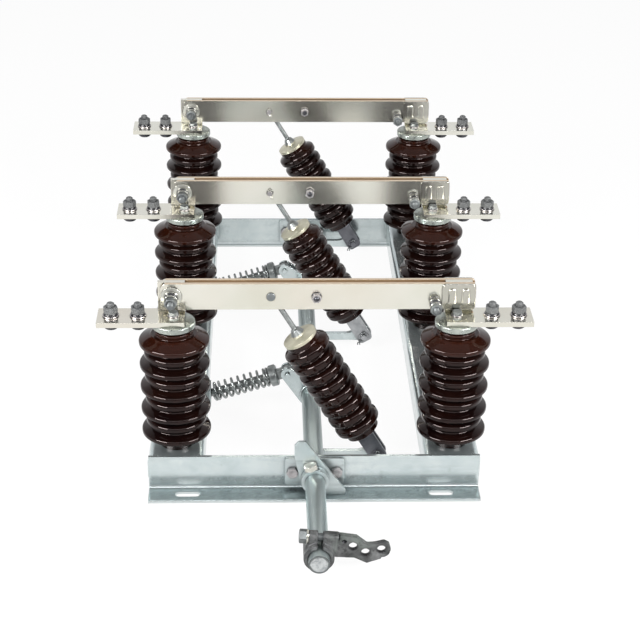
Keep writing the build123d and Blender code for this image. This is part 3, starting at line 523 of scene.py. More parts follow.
def hex_reach(flats, middle, both=True):
    """Turns rings of half the flats' width into hexagons, chamfered above or at both ends."""
    half = flats / 2

    def reach(angle, radius, height):
        if radius != half:
            return radius, height
        corner = half / cos((angle + pi / 6) % SIXTH_TURN - pi / 6)
        drop = max(0.0, corner - CHAMFER_START * half) * CHAMFER_RISE
        if height > middle:
            return corner, height - drop
        return corner, height + drop if both else height

    return reach


def nut(flats, height, bore, base):
    half, top = flats / 2, base + height
    profile = [(bore, base + SOFT_RIM), (bore + SOFT_RIM, base), (0.95 * half, base), (half, base),
               (half, top), (0.95 * half, top), (bore + SOFT_RIM, top), (bore, top - SOFT_RIM)]
    return turned(*profile, reach=hex_reach(flats, base + height / 2), hollow=True)


def bolt_head(flats, height, base=0.0):
    """A hexagon head, flat below, chamfered above and dished in its middle."""
    half, top = flats / 2, base + height
    profile = [(0, base), (half, base), (half, top), (0.95 * half, top), (0.6 * half, top),
               (0.55 * half, top - 0.25), (0, top - 0.25)]
    return turned(*profile, reach=hex_reach(flats, base + height / 2, both=False))


def threaded_end(radius, length, pitch, base):
    """A bolt's end with a real helical thread and a small chamfer."""
    depth, threaded = 0.55 * pitch, length - 1.2
    steps = max(4, round(threaded / (pitch / 6)))
    rows = [(radius, base + threaded * k / steps) for k in range(steps + 1)]

    def reach(angle, r, z):
        if r != radius:
            return r, z
        wave = (z / pitch - angle / (2 * pi)) % 1.0
        return radius - depth * abs(2 * wave - 1), z

    end = [(radius - depth, base + length - 1.0), (radius - depth - 0.8, base + length),
           (0, base + length)]
    return turned((0, base), *rows, *end, sides=32, reach=reach)


def washer(inner, outer, thick, base=0.0, dish=0.0):
    """A washer with softened rims; dish lifts its middle off the seat."""
    soft, slope = min(0.4, thick / 3), dish / (outer - inner)
    section = [(inner, 0), (outer - soft, 0), (outer, soft), (outer, thick - soft),
               (outer - soft, thick), (inner + soft, thick), (inner, thick - soft)]
    return turned(*((r, base + slope * (outer - r) + up) for r, up in section), hollow=True)


def split_washer(inner, outer, thick, base, lift=0.8, steps=40):
    """A spring washer: one square-cut turn, open at its ends."""
    shape, rings = bmesh.new(), []
    for k in range(steps + 1):
        angle = radians(5 + 350 * k / steps)
        low = base + lift * k / steps
        high = low + thick - lift
        rings.append([shape.verts.new((r * cos(angle), r * sin(angle), z))
                      for r, z in ((inner, low), (outer, low), (outer, high), (inner, high))])
    for a, b in zip(rings, rings[1:]):
        for k in range(4):
            n = (k + 1) % 4
            shape.faces.new([a[k], a[n], b[n], b[k]])
    shape.faces.new(rings[0])
    shape.faces.new(reversed(rings[-1]))
    return finished(shape)


# ---- geometry node trees
class Web(Wiring):
    """A geometry node tree with named inputs."""

    def __init__(self, name, **inputs):
        super().__init__(bpy.data.node_groups.new(name, "GeometryNodeTree"))
        face = self.tree.interface
        for way in ("INPUT", "OUTPUT"):
            face.new_socket("Geometry", in_out=way, socket_type="NodeSocketGeometry")
        for label, kind in inputs.items():
            face.new_socket(label.replace("_", " "), in_out="INPUT",
                            socket_type=f"NodeSocket{kind}")
        self.start = self.tree.nodes.new("NodeGroupInput").outputs
        self.end = self.tree.nodes.new("NodeGroupOutput").inputs["Geometry"]

    def tube(self, line, radius, sides):
        """A round closed tube along a line."""
        ring = self.node("GeometryNodeCurvePrimitiveCircle", Resolution=sides, Radius=radius)[0]
        return self.node("GeometryNodeCurveToMesh", Curve=line, Profile_Curve=ring,
                         Fill_Caps=True)[0]

    def close(self, geometry):
        solid = self.node("GeometryNodeRealizeInstances", geometry)[0]
        self.feed(self.end, self.node("GeometryNodeSetMaterial", solid, None,
                                      self.start["Material"])[0])
        return self.tree


def seating_tree():
    """Sets a piece on every point, along its facing, turned about itself by chance."""
    w = Web("seated_fasteners", Piece="Object", Material="Material", Turn="Float", Seed="Int")
    facing = w.node("GeometryNodeInputNamedAttribute", "facing", data_type="FLOAT_VECTOR")[0]
    aim = w.node("FunctionNodeAlignRotationToVector", None, None, facing, axis="Z")[0]
    chance = w.node("FunctionNodeRandomValue", None, None, 0.0, w.start["Turn"],
                    Seed=w.start["Seed"], data_type="FLOAT")[1]
    spin = w.node("ShaderNodeCombineXYZ", 0.0, 0.0, chance)[0]
    turn = w.node("FunctionNodeEulerToRotation", spin)[0]
    both = w.node("FunctionNodeRotateRotation", aim, turn, rotation_space="LOCAL")[0]
    piece = w.node("GeometryNodeObjectInfo", Object=w.start["Piece"])["Geometry"]
    return w.close(w.node("GeometryNodeInstanceOnPoints", Points=w.start["Geometry"],
                          Instance=piece, Rotation=both)[0])


def winding_tree():
    """A wound spring: open turns between closed end turns, with a round wire."""
    w = Web("wound_spring", Coil_Radius="Float", Wire_Radius="Float", Open_Turns="Float",
            End_Turns="Float", Length="Float", Steps="Int", Material="Material")
    line = w.node("GeometryNodeCurvePrimitiveLine", (0, 0, 0), (0, 0, 1))[0]
    fine = w.node("GeometryNodeResampleCurve", Curve=line, Count=w.start["Steps"], mode="COUNT")[0]
    along_line = w.node("GeometryNodeSplineParameter")["Factor"]
    ends, opened = w.start["End Turns"], w.start["Open Turns"]
    turns = w.times(along_line, w.math("ADD", opened, w.times(ends, 2.0)))
    closed_pitch = w.times(w.start["Wire Radius"], 2.04)
    ends_length = w.times(w.times(closed_pitch, ends), 2.0)
    open_length = w.math("SUBTRACT", w.start["Length"], ends_length)
    open_pitch = w.math("DIVIDE", open_length, opened)
    middle = w.math("MINIMUM", w.math("MAXIMUM", w.math("SUBTRACT", turns, ends), 0.0), opened)
    closed = w.math("SUBTRACT", turns, middle)
    rise = w.math("ADD", w.times(closed, closed_pitch), w.times(middle, open_pitch))
    angle = w.times(turns, 2 * pi)
    x, y = (w.times(w.start["Coil Radius"], w.math(kind, angle)) for kind in ("COSINE", "SINE"))
    place = w.node("ShaderNodeCombineXYZ", x, y, rise)[0]
    wound = w.node("GeometryNodeSetPosition", fine, None, place)[0]
    return w.close(w.tube(wound, w.start["Wire Radius"], 14))


def beading_tree():
    """A wire or a rippled weld bead along a drawn line."""
    w = Web("bead_on_line", Radius="Float", Step="Float", Ripple="Float", Sides="Int",
            Material="Material")
    line = w.node("GeometryNodeMeshToCurve", w.start["Geometry"])[0]
    fine = w.node("GeometryNodeResampleCurve", Curve=line, Length=w.start["Step"], mode="LENGTH")[0]
    tube = w.tube(fine, w.start["Radius"], w.start["Sides"])
    lumps = w.node("ShaderNodeTexNoise", Scale=420.0)["Color"]
    centred = w.vector("SUBTRACT", lumps, (0.5, 0.5, 0.5))[0]
    shift = w.vector("SCALE", centred, Scale=w.start["Ripple"])[0]
    return w.close(w.node("GeometryNodeSetPosition", tube, None, None, shift)[0])


seating, winding, beading = seating_tree(), winding_tree(), beading_tree()


def grown(tree, mesh, **values):
    """Runs a tree on a mesh and gives the result as a plain mesh."""
    holder = link_object(tree.name, mesh)
    modifier = holder.modifiers.new(tree.name, "NODES")
    modifier.node_group = tree
    for item in tree.interface.items_tree:
        label = item.name.replace(" ", "_")
        if item.in_out == "INPUT" and label in values:
            modifier[item.identifier] = values[label]
    made = evaluated(holder)
    holder.modifiers.remove(modifier)
    bpy.data.objects.remove(holder)
    return made


def evaluated(holder):
    """A new mesh of an object with its modifiers applied."""
    bpy.context.view_layer.update()
    scene_now = bpy.context.evaluated_depsgraph_get()
    return bpy.data.meshes.new_from_object(holder.evaluated_get(scene_now))


def line_mesh(*lines):
    """Edges through lists of points, in metres."""
    mesh = bpy.data.meshes.new("drawn_line")
    points, edges = [], []
    for line in lines:
        edges += [(len(points) + k, len(points) + k + 1) for k in range(len(line) - 1)]
        points += line
    mesh.from_pydata(points, edges, [])
    return mesh


def along(origin, way):
    """A placement with its Z axis along a direction."""
    return Matrix.Translation(origin) @ Vector(way).to_track_quat("Z", "Y").to_matrix().to_4x4()


# ---- pieces
WELDED_WITHIN = 1e-7
SHARP_ANGLE = radians(34)


class Kit:
    """The parts that ride together on one body, joined into one piece."""

    def __init__(self, name, body, *replaced, slot="bolt_zinc"):
        self.name, self.body, self.replaced, self.slot = name, body, replaced, slot
        self.gathered = bmesh.new()
        self.materials = []

    def take(self, mesh, material):
        """Adds a finished mesh with one material."""
        if material not in self.materials:
            self.materials.append(material)
        number = self.materials.index(material)
        for polygon in mesh.polygons:
            polygon.material_index = number
        self.gathered.from_mesh(mesh)
        return self

    def seat(self, parts, spots, turn=SIXTH_TURN, seed=1):
        """Sets (mesh, material) parts on (point, facing) spots, each turned by up to the turn."""
        points = bpy.data.meshes.new("spots")
        points.from_pydata([tuple(point) for point, _ in spots], [], [])
        facing = points.attributes.new("facing", "FLOAT_VECTOR", "POINT")
        for k, (_, way) in enumerate(spots):
            facing.data[k].vector = way
        for number, (mesh, material) in enumerate(parts):
            holder = link_object("part", mesh)
            self.take(grown(seating, points.copy(), Piece=holder, Material=material, Turn=turn,
                            Seed=seed + 7 * number), material)
            bpy.data.objects.remove(holder)
        return self

    def wire(self, lines, radius, material, step, ripple=0.0, sides=10):
        """Wires or weld beads along lines of points."""
        return self.take(grown(beading, line_mesh(*lines), Radius=radius, Step=step,
                               Ripple=ripple, Sides=sides, Material=material), material)

    def coil(self, place, radius, wire, open_turns, end_turns, length, material, steps):
        """A spring along the place's Z axis, with its end faces at 0 and at the length."""
        mesh = grown(winding, line_mesh([(0, 0, 0), (0, 0, 1)]), Coil_Radius=radius,
                     Wire_Radius=wire, Open_Turns=open_turns, End_Turns=end_turns,
                     Length=length - 2 * wire, Steps=steps, Material=material)
        mesh.transform(place @ Matrix.Translation((0, 0, wire)))
        return self.take(mesh, material)

    def done(self):
        """Joins what was gathered and gives it to the body."""
        shape = self.gathered
        bmesh.ops.remove_doubles(shape, verts=shape.verts, dist=WELDED_WITHIN)
        bmesh.ops.recalc_face_normals(shape, faces=shape.faces)
        for edge in shape.edges:
            edge.smooth = edge.calc_face_angle(0) < SHARP_ANGLE
        mesh = bpy.data.meshes.new(self.name)
        shape.to_mesh(mesh)
        shape.free()
        for polygon in mesh.polygons:
            polygon.use_smooth = True
        for material in self.materials:
            mesh.materials.append(material)
        piece = link_object(self.name, mesh)
        if self.replaced:
            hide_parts(*self.replaced)
        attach(piece, self.body)


# ---- porcelain posts
POST_BASE, POST_HEIGHT = 60.0, 202.0  # millimetres, as are the other sizes of the post
POST_GROOVE = 36.0
SHED_RADIUS, RIB_RADIUS = 52.5, 45.5
FIRST_SHED, SHED_STEP = 26.0, 37.75 / 2  # from a shed's middle to the next rib's


def rounded_line(*corners, steps=5):
    """Points through (radius, height, rounding) corners, each turned with an arc."""
    places = [Vector(c[:2]) for c in corners]
    line = [tuple(places[0])]
    for before, corner, after, turn in zip(places, places[1:], places[2:], corners[1:]):
        rounding = turn[2]
        back, ahead = (before - corner).normalized(), (after - corner).normalized()
        half = back.angle(ahead) / 2
        if rounding == 0 or half > 1.55:
            line.append(tuple(corner))
            continue
        centre = corner + (back + ahead).normalized() * rounding / sin(half)
        first = corner + back * rounding / tan(half) - centre
        last = corner + ahead * rounding / tan(half) - centre
        sweep = first.angle_signed(last)
        for k in range(steps + 1):
            cosine, sine = cos(-sweep * k / steps), sin(-sweep * k / steps)
            line.append((centre.x + first.x * cosine - first.y * sine,
                         centre.y + first.x * sine + first.y * cosine))
    return line + [tuple(places[-1])]


def post_insulators():
    """Posts with five thin-lipped sheds, four ribs between them, and a stepped neck on top."""
    corners = [(0, 0, 0), (25, 0, 0), (25, 8, 2.5), (POST_GROOVE, 14.5, 2.5)]
    for k in range(9):
        radius, middle = (SHED_RADIUS, RIB_RADIUS)[k % 2], FIRST_SHED + SHED_STEP * k
        if k:
            corners.append((POST_GROOVE, middle - SHED_STEP / 2, 2.0))
        corners += [(radius, middle - 2.8, 2.5), (radius, middle + 3.6, 3.4)]
    top = FIRST_SHED + 8 * SHED_STEP
    corners += [(36.5, top + 10.6, 3.0), (34.0, top + 12.6, 1.6), (28.6, top + 12.2, 1.2),
                (27.6, top + 15.5, 1.2), (29.4, top + 17.4, 1.2), (29.4, top + 20.6, 1.0),
                (25.5, top + 22.0, 0.8), (25.5, POST_HEIGHT, 0), (0, POST_HEIGHT, 0)]
    post = turned(*rounded_line(*corners), sides=96)
    for name in ("hinge_insulators", "contact_insulators"):
        side = -1 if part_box(name)[0][0] < 0 else 1
        kit = Kit(f"{name}_turned", "frame", name, slot="porcelain")
        spots = [((side * post_x, y, POST_BASE * MM), UP) for y in pole_ys]
        kit.seat([(post, porcelain)], spots, 0.0).done()


# ---- bolts on the frame
# Outlines of pins, heads and shanks: (radius, height) in millimetres, from their seats.
ROUND_HEAD = ((0, -20.5), (6, -20.3), (9.2, -19.4), (11.2, -17.4), (11.8, -14.6), (11.8, -10.6),
              (11.4, -10.2), (0, -10.2))
FIXING_SHANK = ((0, -26), (4, -25), (4, 1), (0, 1))
BEARING_SHANK = ((0, -10.6), (5, -10.5), (5, 8.4), (0, 8.5))
HINGE_PIN = ((0, -24), (6, -23.8), (6, 17), (5, 17.4), (5, 26), (0, 26))
PIN_HEAD = ((0, 0), (6.0, 0), (6.5, 0.5), (6.5, 1.9), (5.9, 2.5), (0, 2.5))
PULL_PIN = ((0, -21.8), (4.2, -21.8), (4.2, 6.2), (3.4, 7.0), (0, 7.0))
SPACER_SHANK = ((0, -27.5), (4, -27.4), (4, 1.5), (0, 1.6))
SLEEVE = ((4.1, -4.2), (7.6, -4.2), (8, -3.8), (8, 3.8), (7.6, 4.2), (4.1, 4.2))
CLAMP_SHANK = ((0, -42), (5, -42), (5, 1.9), (0, 2.0))
CRANK_SHANK = ((0, -43), (5.9, -42.6), (5.9, 2), (0, 2))
SET_SHANK = ((0, -5.8), (5, -5.7), (5, 0), (0, 0.1))

TERMINAL_SETBACKS = (20 * MM, 60 * MM)  # from the bar's end to its two bolts
BEARING_SPREAD = 33.5 * MM  # from the shaft's axis to a bearing's bolts
ANGLE_THICKNESS = 5 * MM
BEARING_DEPTH = 10.5 * MM  # from an angle's back to the bearing's front


def terminal_bolts():
    """M12 bolts through the terminal bars, with round heads below and nuts above."""
    parts = [(washer(6.2, 12, 2.5), head_zinc), (split_washer(6.3, 10.3, 3.0, 2.5), black),
             (nut(19, 10, 5.6, 5.5), matt_zinc), (threaded_end(5.9, 15.2, 1.75, 6.5), matt_zinc),
             (washer(6.3, 12.5, 2.2, -10.2), black), (turned(*ROUND_HEAD), black)]
    spots = [((side * (bar_end - back), y, bar_top), UP)
             for side in (-1, 1) for back in TERMINAL_SETBACKS for y in pole_ys]
    Kit("terminal_bolt_sets", "frame", "terminal_bolts").seat(parts, spots, seed=3).done()


def fixing_bolts():
    """The bolts that hold the terminal bars and caps to the posts."""
    kit = Kit("fixing_bolt_sets", "frame", "fixing_bolts")
    spots = [((side * post_x, y, bar_top), UP) for side in (-1, 1) for y in pole_ys]
    kit.seat([(washer(4.3, 8.5, 1.6), head_zinc), (bolt_head(13, 5.3, 1.6), dull)], spots, 0.3, 5)
    kit.seat([(turned(*FIXING_SHANK), dull)], spots, 0.0).done()


def bearing_bolts():
    """The bolts that hold each bearing to its end angle, heads in front and nuts behind."""
    kit = Kit("bearing_bolt_sets", "frame", "bearing_bolts")
    backs = (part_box("front_angle")[1][1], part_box("rear_angle")[0][1] + ANGLE_THICKNESS)
    xs = (-BEARING_SPREAD, BEARING_SPREAD)
    heads = [((x, back - BEARING_DEPTH, shaft_z), FRONT) for x in xs for back in backs]
    kit.seat([(bolt_head(16, 6.4), head_zinc)], heads, seed=11)
    tails = [((x, back, shaft_z), REAR) for x in xs for back in backs]
    kit.seat([(washer(5.2, 10, 2), bright), (nut(16, 8, 4.7, 2), dull),
              (threaded_end(4.9, 3.5, 1.5, 8.5), dull)], tails, seed=13)
    kit.seat([(turned(*BEARING_SHANK), dull)], tails, 0.0).done()


# ---- parts on the blades
OVAL_SETBACKS = (15 * MM, 35 * MM)  # from a lock plate's outer end to its two ovals
OVAL_RADIUS, OVAL_RISE = 4.6 * MM, 8.5 * MM  # of an oval's ends, and of their middles
OVAL_DEPTH = 1.3 * MM  # from the plate's box to the rim's middle
SPACER_X = 1.5 * MM
CLAMP_X, CLAMP_DROP = 178 * MM, 12 * MM
PULL_PIN_TAIL = 4.4 * MM  # from a strip's outside to the split pin


def pressed_ovals(number):
    """The raised rims of the two ovals pressed into a blade's lock plates."""
    kit = Kit(f"pressed_ovals_{number}", f"blade_{number}", slot="tinned_copper")
    (_, front, _), (end, rear, _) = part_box(f"lock_plates_{number}")
    lines = []
    for x in (end - back for back in OVAL_SETBACKS):
        for y in (front + OVAL_DEPTH, rear - OVAL_DEPTH):
            ring = []
            for angle in map(radians, range(0, 361, 10)):
                z = blade_z + (OVAL_RISE if sin(angle) > 0 else -OVAL_RISE)
                ring.append((x + OVAL_RADIUS * cos(angle), y, z + OVAL_RADIUS * sin(angle)))
            lines.append(ring)
    # painted highlight: the rims use the lighter copy of the tinned copper
    kit.wire(lines, 1.05 * MM, lightened_tin, step=0.0009, sides=8).done()


def split_pin(kit, centre, size, hang, metal):
    """A split pin through a pin's end: an eye above, two legs below that spread and hang."""
    x, y, z = centre
    lines = []
    for side in (-1, 1):
        foot = hang + (0.15 if side < 0 else 0.75)
        eye = [(side * out, 0, up) for out, up in
               ((0.15, -0.5), (0.12, 0.7), (0.42, 1.0), (0.3, 1.35), (0.0, 1.45))]
        leg = [(side * 0.15, 0, -0.5), (side * 0.12, 0, -1.0), (foot - 0.1, -0.1, -1.7),
               (foot, -0.15, -2.3)]
        lines += [[(x + a * size, y + b * size, z + c * size) for a, b, c in line]
                  for line in (eye, leg)]
    kit.wire(lines, 0.16 * size, metal, step=0.0008, sides=8)


def blade_fasteners(number):
    """One blade's hinge, pull pin, spacer and clamping bolt, each through both strips."""
    y = blade_ys[number - 1]
    faces = {FRONT: y - STRIP_FACE, REAR: y + STRIP_FACE}
    kit = Kit(f"blade_fasteners_{number}", f"blade_{number}", f"blade_bolts_{number}")
    clamp_z = blade_z - CLAMP_DROP

    def seat(x, way, *parts, z=blade_z, seed=None):
        """Sets parts on a strip's outside, turned by chance where a seed is given."""
        turn = 0.0 if seed is None else SIXTH_TURN
        kit.seat(parts, [((x, faces[way], z), way)], turn, 20 * number + (seed or 0))

    def coil(x, out, z, *sizes):
        kit.coil(along((x, faces[FRONT] - out * MM, z), FRONT), *sizes, black, 160)

    # hinge: a washer, a spring and a nut in front, a nut behind
    seat(hinge_x, FRONT, (washer(6.2, 16, 1.4, 0.1, 2.4), bright),
         (washer(6.2, 10.6, 1.4, 4.0), bright), (washer(6.2, 10.6, 1.4, 15.6), bright),
         (nut(16, 9, 5.2, 17.4), dull), seed=0)
    seat(hinge_x, FRONT, (turned(*HINGE_PIN), dull), (threaded_end(5.0, 9.6, 1.5, 26.2), dull))
    coil(hinge_x, 5.4, blade_z, 8.4 * MM, 1.7 * MM, 1.6, 0.9, 10.2 * MM)
    seat(hinge_x, REAR, (washer(6.2, 16, 2.0, 0.1, 1.6), bright), (nut(18, 7, 5.2, 4.0), dull),
         seed=1)
    seat(hinge_x, REAR, (threaded_end(5.9, 3.0, 1.75, 9.0), dull))
    # pull pin: a plain disc head on one side, a washer and a split pin on the other
    pull_x = hinge_x + PULL_REACH
    head_way, tail_way = (FRONT, REAR) if number == 1 else (REAR, FRONT)
    seat(pull_x, head_way, (turned(*PIN_HEAD), dull))
    seat(pull_x, tail_way, (washer(4.3, 6.2, 1.2), bright), (turned(*PULL_PIN), head_zinc))
    tail_y = faces[tail_way] + PULL_PIN_TAIL * tail_way[1]
    split_pin(kit, (pull_x, tail_y, blade_z), 4.6 * MM, 0.3, bright)
    # spacer bolt with its sleeve
    seat(SPACER_X, FRONT, (washer(4.2, 7.5, 1.6), black), (nut(13, 6.5, 3.7, 1.6), head_zinc),
         (threaded_end(3.9, 3.6, 1.25, 7.5), black), seed=2)
    seat(SPACER_X, REAR, (washer(4.2, 7.5, 1.6), bright), (bolt_head(13, 5.3, 1.6), dull),
         (turned(*SPACER_SHANK), dull), seed=3)
    sleeve = turned(*SLEEVE, hollow=True)
    kit.seat([(sleeve, dull)], [((SPACER_X, y, blade_z), FRONT)], 0.0)
    # clamping bolt with its spring
    seat(CLAMP_X, FRONT, (washer(5.2, 9, 2.0), bright), (washer(5.2, 9, 2.0, 13.0), bright),
         (nut(16, 8, 4.7, 15.0), dull), (threaded_end(4.9, 3.6, 1.5, 22.4), dull),
         z=clamp_z, seed=4)
    coil(CLAMP_X, 2.0, clamp_z, 7.1 * MM, 1.3 * MM, 2.3, 0.9, 11.0 * MM)
    seat(CLAMP_X, REAR, (washer(5.2, 9, 2.0), bright), (bolt_head(16, 6.4, 2.0), dull),
         (turned(*CLAMP_SHANK), dull), z=clamp_z, seed=5)
    kit.done()


# ---- links, springs and shaft
LINK_PIN_TAIL = 14.6 * MM  # from a link's middle to its split pin
GUIDE_END = (-168 * MM, 32 * MM)  # X and Z of the point that each guide rod aims at
SPRING_START, SPRING_STOP = 30 * MM, 8.2 * MM  # from the guide pin, and from the end
CRANK_TILT, SET_BOLT_LEAN = radians(-4.5), radians(-16)
CLAMP_BOLT_SEAT = (-17, 18, 25.3)  # millimetres, on the crank's front left side
SET_BOLT_SEAT = (6.75 * MM, 20.9 * MM)  # behind the stop plate's front, and from the shaft's axis


def link_pins(number):
    """The split pin at the crank end of a pull link."""
    x, y, z = pivots[f"link_pin_{number}"]
    kit = Kit(f"link_split_pin_{number}", f"pull_link_{number}")
    split_pin(kit, (x, y - LINK_PIN_TAIL, z), 6.0 * MM, -1.9, dull)
    kit.done()


def coil_springs():
    """The springs round the two guide rods."""
    for number in SPRINGS:
        pin = Vector(pivots[f"guide_pin_{number}"])
        back = Vector((GUIDE_END[0], pin.y, GUIDE_END[1])) - pin
        kit = Kit(f"wound_spring_{number}", f"spring_guide_{number}", f"coil_spring_{number}",
                  slot="spring_steel")
        place = along(pin + back.normalized() * SPRING_START, back)
        length = back.length - SPRING_START - SPRING_STOP
        kit.coil(place, 14.0 * MM, 2.1 * MM, 7.6, 1.2, length, spring_wire, 620).done()


def crank_bolts():
    """The operating crank's clamping bolt and the stop collar's set bolt."""
    kit = Kit("shaft_bolts", "shaft", "clamp_bolt")
    across, behind, above = (v * MM for v in CLAMP_BOLT_SEAT)
    cosine, sine = cos(CRANK_TILT), sin(CRANK_TILT)
    seat = (across * cosine - above * sine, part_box("operating_crank")[0][1] + behind,
            across * sine + above * cosine + shaft_z)
    kit.seat([(washer(6.2, 10.5, 2.6), bright), (bolt_head(18, 10, 2.9), dull),
              (turned(*CRANK_SHANK), dull)], [(seat, (-cosine, 0, -sine))], 0.25, 31)
    behind, out = SET_BOLT_SEAT
    outward = Vector((sin(SET_BOLT_LEAN), 0, cos(SET_BOLT_LEAN)))
    seat = Vector((0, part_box("stop_plate")[0][1] + behind, shaft_z)) + out * outward
    kit.seat([(bolt_head(19, 8.0), bright), (turned(*SET_SHANK), dull)],
             [(seat, outward)], 0.2, 33).done()


# ---- crank casting
CASTING_VOXEL, CASTING_ROUNDS, CASTING_LUMPS = 0.0008, 9, 0.0003
RIM_WIDTH = 0.0022  # how far the dark line reaches from an edge
EYE_RADIUS = 13.6 * MM  # of the arm's rounded end
PIT, PIT_RADIUS, PIT_DEPTH = Vector((36 * MM, 0, 51.5 * MM)), 3.2 * MM, 3.5 * MM


def cast_skin(mesh):
    """A piece from a mesh, with rounded edges and faces roughened by sand."""
    piece = link_object("crank_casting", mesh)
    remesh = piece.modifiers.new("even_skin", "REMESH")
    remesh.mode, remesh.voxel_size = "VOXEL", CASTING_VOXEL
    smooth = piece.modifiers.new("round_edges", "SMOOTH")
    smooth.factor, smooth.iterations = 0.5, CASTING_ROUNDS
    cloud = bpy.data.textures.new("sand", "CLOUDS")
    cloud.noise_scale = 0.006
    push = piece.modifiers.new("sand_skin", "DISPLACE")
    push.texture, push.strength, push.mid_level = cloud, CASTING_LUMPS, 0.9
    skin = evaluated(piece)
    piece.modifiers.clear()
    piece.data = skin
    return piece


def edge_marks(mesh):
    """A search tree of points along the sharp edges of a mesh."""
    shape = bmesh.new()
    shape.from_mesh(mesh)
    marks = []
    for edge in shape.edges:
        if edge.calc_face_angle(0) > radians(40):
            a, b = (vert.co for vert in edge.verts)
            count = max(1, int(edge.calc_length() / CASTING_VOXEL))
            marks += [a.lerp(b, k / count) for k in range(count + 1)]
    shape.free()
    tree = KDTree(len(marks))
    for k, mark in enumerate(marks):
        tree.insert(mark, k)
    tree.balance()
    return tree


def crank_casting():
    """The operating crank with a cast skin, dark edges, a rounded eye, and a sand hole painted dark
    as painted shade.
    """
    plain = nodes["operating_crank"].data.copy()
    shape = bmesh.new()
    shape.from_mesh(plain)
    bmesh.ops.remove_doubles(shape, verts=shape.verts, dist=1e-6)
    shape.to_mesh(plain)
    shape.free()
    piece = cast_skin(plain)
    for polygon in piece.data.polygons:
        polygon.use_smooth = True
    edges, eye = edge_marks(plain), mounts["rod_hole_3"]
    rim = piece.data.attributes.new("rim", "FLOAT", "POINT")
    for vertex in piece.data.vertices:
        darkness = max(0.0, 1.0 - edges.find(vertex.co)[2] / RIM_WIDTH)
        out = Vector((vertex.co.x - eye[0], 0, vertex.co.z - eye[2]))
        if out.x > 0 and out.length > EYE_RADIUS:
            vertex.co += out * (EYE_RADIUS / out.length - 1)
        off = Vector((vertex.co.x - PIT.x, 0, (vertex.co.z - PIT.z) * 1.2)).length
        if off < PIT_RADIUS and vertex.normal.y < -0.5:
            vertex.co.y += PIT_DEPTH * sqrt(1 - off / PIT_RADIUS)
            # painted shade: the sand hole is painted fully dark
            darkness = 3.0
        rim.data[vertex.index].value = darkness
    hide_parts("operating_crank")
    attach(piece, "shaft")


# ---- welds
BEAD_STEP = 0.0011


def frame_welds():
    """Beads where the rails meet the end angles, turned in at the rails' top corners."""
    lines = []
    for rail in ("left_rail", "right_rail"):
        (x0, y0, z0), (x1, y1, z1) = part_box(rail)
        outer, inner = (x0, x1) if rail == "left_rail" else (x1, x0)
        turn, bend, top = copysign(2.6 * MM, inner - outer), z1 - 9 * MM, z1 - 2.6 * MM
        for y in (y0 + 0.6 * MM, y1 - 0.6 * MM):
            lines += [[(outer, y, z0 + 4 * MM), (outer, y, bend), (outer + turn, y, top)],
                      [(inner - turn, y, top), (inner, y, bend), (inner, y, z0 + 6 * MM)]]
    kit = Kit("frame_welds", "frame", slot="galvanised")
    kit.wire(lines, 1.5 * MM, weld_metal, BEAD_STEP, ripple=0.0012).done()


def shaft_welds():
    """Beads on both sides of the pole cranks and spring levers, where they meet the shaft."""
    levers = [(pivots[f"guide_pin_{number}"][1], 11.3 * MM, 16.0 * MM, range(20, 262, 8))
              for number in SPRINGS]
    cranks = [(y, 4.3 * MM, 15.6 * MM, range(-64, -18, 6)) for y in blade_ys]
    lines = []
    for y, aside, radius, degrees in cranks + levers:
        for at in (y - aside, y + aside):
            lines.append([(radius * cos(a), at, shaft_z + radius * sin(a))
                          for a in map(radians, degrees)])
    kit = Kit("shaft_welds", "shaft", slot="galvanised")
    kit.wire(lines, 1.7 * MM, weld_metal, BEAD_STEP, ripple=0.0013).done()


# ---- studio
FLOOR_HALF, FLOOR_GAP = 6, 0.0005
AIM = (0, -0.1, 0.2)


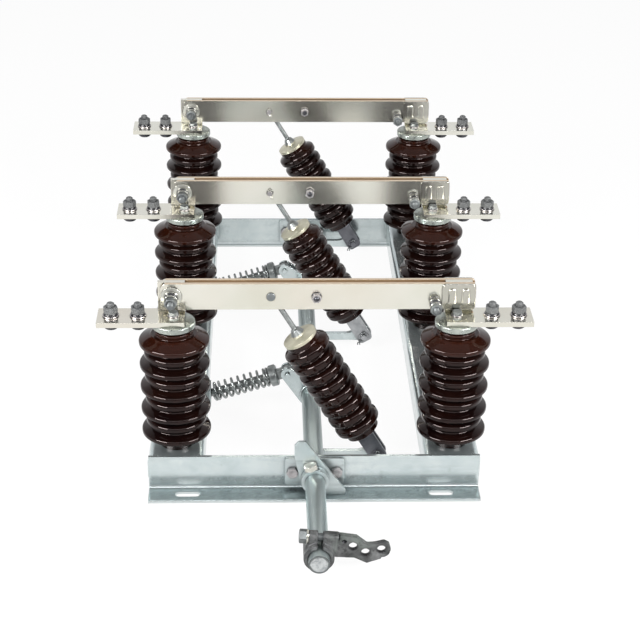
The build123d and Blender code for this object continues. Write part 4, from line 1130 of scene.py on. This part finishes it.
def white_floor():
    """A pale floor that holds the shadow, and glows white to the camera and to reflections."""
    material = bpy.data.materials.new("white_floor")
    material.use_nodes = True
    material.node_tree.nodes.clear()
    w = Wiring(material.node_tree)
    path = w.node("ShaderNodeLightPath")
    seen = path["Is Camera Ray"]
    for ray in ("Is Glossy Ray", "Is Transmission Ray"):
        seen = w.math("MAXIMUM", seen, path[ray])
    paint = w.node("ShaderNodeBsdfDiffuse", Color=(0.86, 0.86, 0.86, 1))[0]
    glow = w.node("ShaderNodeEmission", Strength=1.0)[0]
    mix = w.node("ShaderNodeMixShader", w.times(seen, 0.93), paint, glow)[0]
    w.node("ShaderNodeOutputMaterial", mix)
    return material


def floor():
    z = cad_box[0][2] - FLOOR_GAP
    corners = [(x * FLOOR_HALF, y * FLOOR_HALF, z) for x, y in ((-1, -1), (1, -1), (1, 1), (-1, 1))]
    mesh = bpy.data.meshes.new("floor")
    mesh.from_pydata(corners, [], [(0, 1, 2, 3)])
    mesh.materials.append(white_floor())
    link_object("floor", mesh)


def lamp(name, place, aim, power, width, depth=None):
    """A soft box aimed at a point: square, unless its depth is given."""
    data = bpy.data.lights.new(name, "AREA")
    data.energy, data.size = power, width
    if depth:
        data.shape, data.size_y = "RECTANGLE", depth
    light = link_object(name, data)
    light.location = place
    light.rotation_euler = (Vector(aim) - Vector(place)).to_track_quat("-Z", "Y").to_euler()


def world():
    """A pale wall behind the switch, and a darker room overhead and behind the camera."""
    made = bpy.data.worlds.new("studio")
    made.use_nodes = True
    w = Wiring(made.node_tree)
    way = w.node("ShaderNodeSeparateXYZ", w.node("ShaderNodeTexCoord")["Generated"])
    pale = w.times(w.span(way["Y"], 0.0, 1.0, -0.5, 0.7), w.span(way["Z"], 0.0, 1.0, 0.95, 0.45))
    room = made.node_tree.nodes["Background"].inputs
    w.feed(room["Strength"], w.span(pale, 0.17, 0.95))
    w.feed(room["Color"], (0.97, 0.98, 1.0, 1))
    bpy.context.scene.world = made


camera()
dress_nodes()
post_insulators()
for pole in POLES:
    pressed_ovals(pole)
terminal_bolts()
fixing_bolts()
bearing_bolts()
for pole in POLES:
    blade_fasteners(pole)
    link_pins(pole)
coil_springs()
crank_bolts()
crank_casting()
frame_welds()
shaft_welds()
floor()
world()
lamp("left_box", (-1.62, -1.5, 1.2), AIM, 92, 1.35, 0.42)
lamp("right_box", (1.62, -1.5, 1.2), AIM, 85, 1.35, 0.42)
lamp("front_strip", (0, -1.75, 1.42), AIM, 13, 1.9, 0.28)
lamp("top_box", (0, 0.3, 2.6), (0, 0, 0.1), 6, 2.4)
bpy.context.scene.view_settings.view_transform = "Standard"
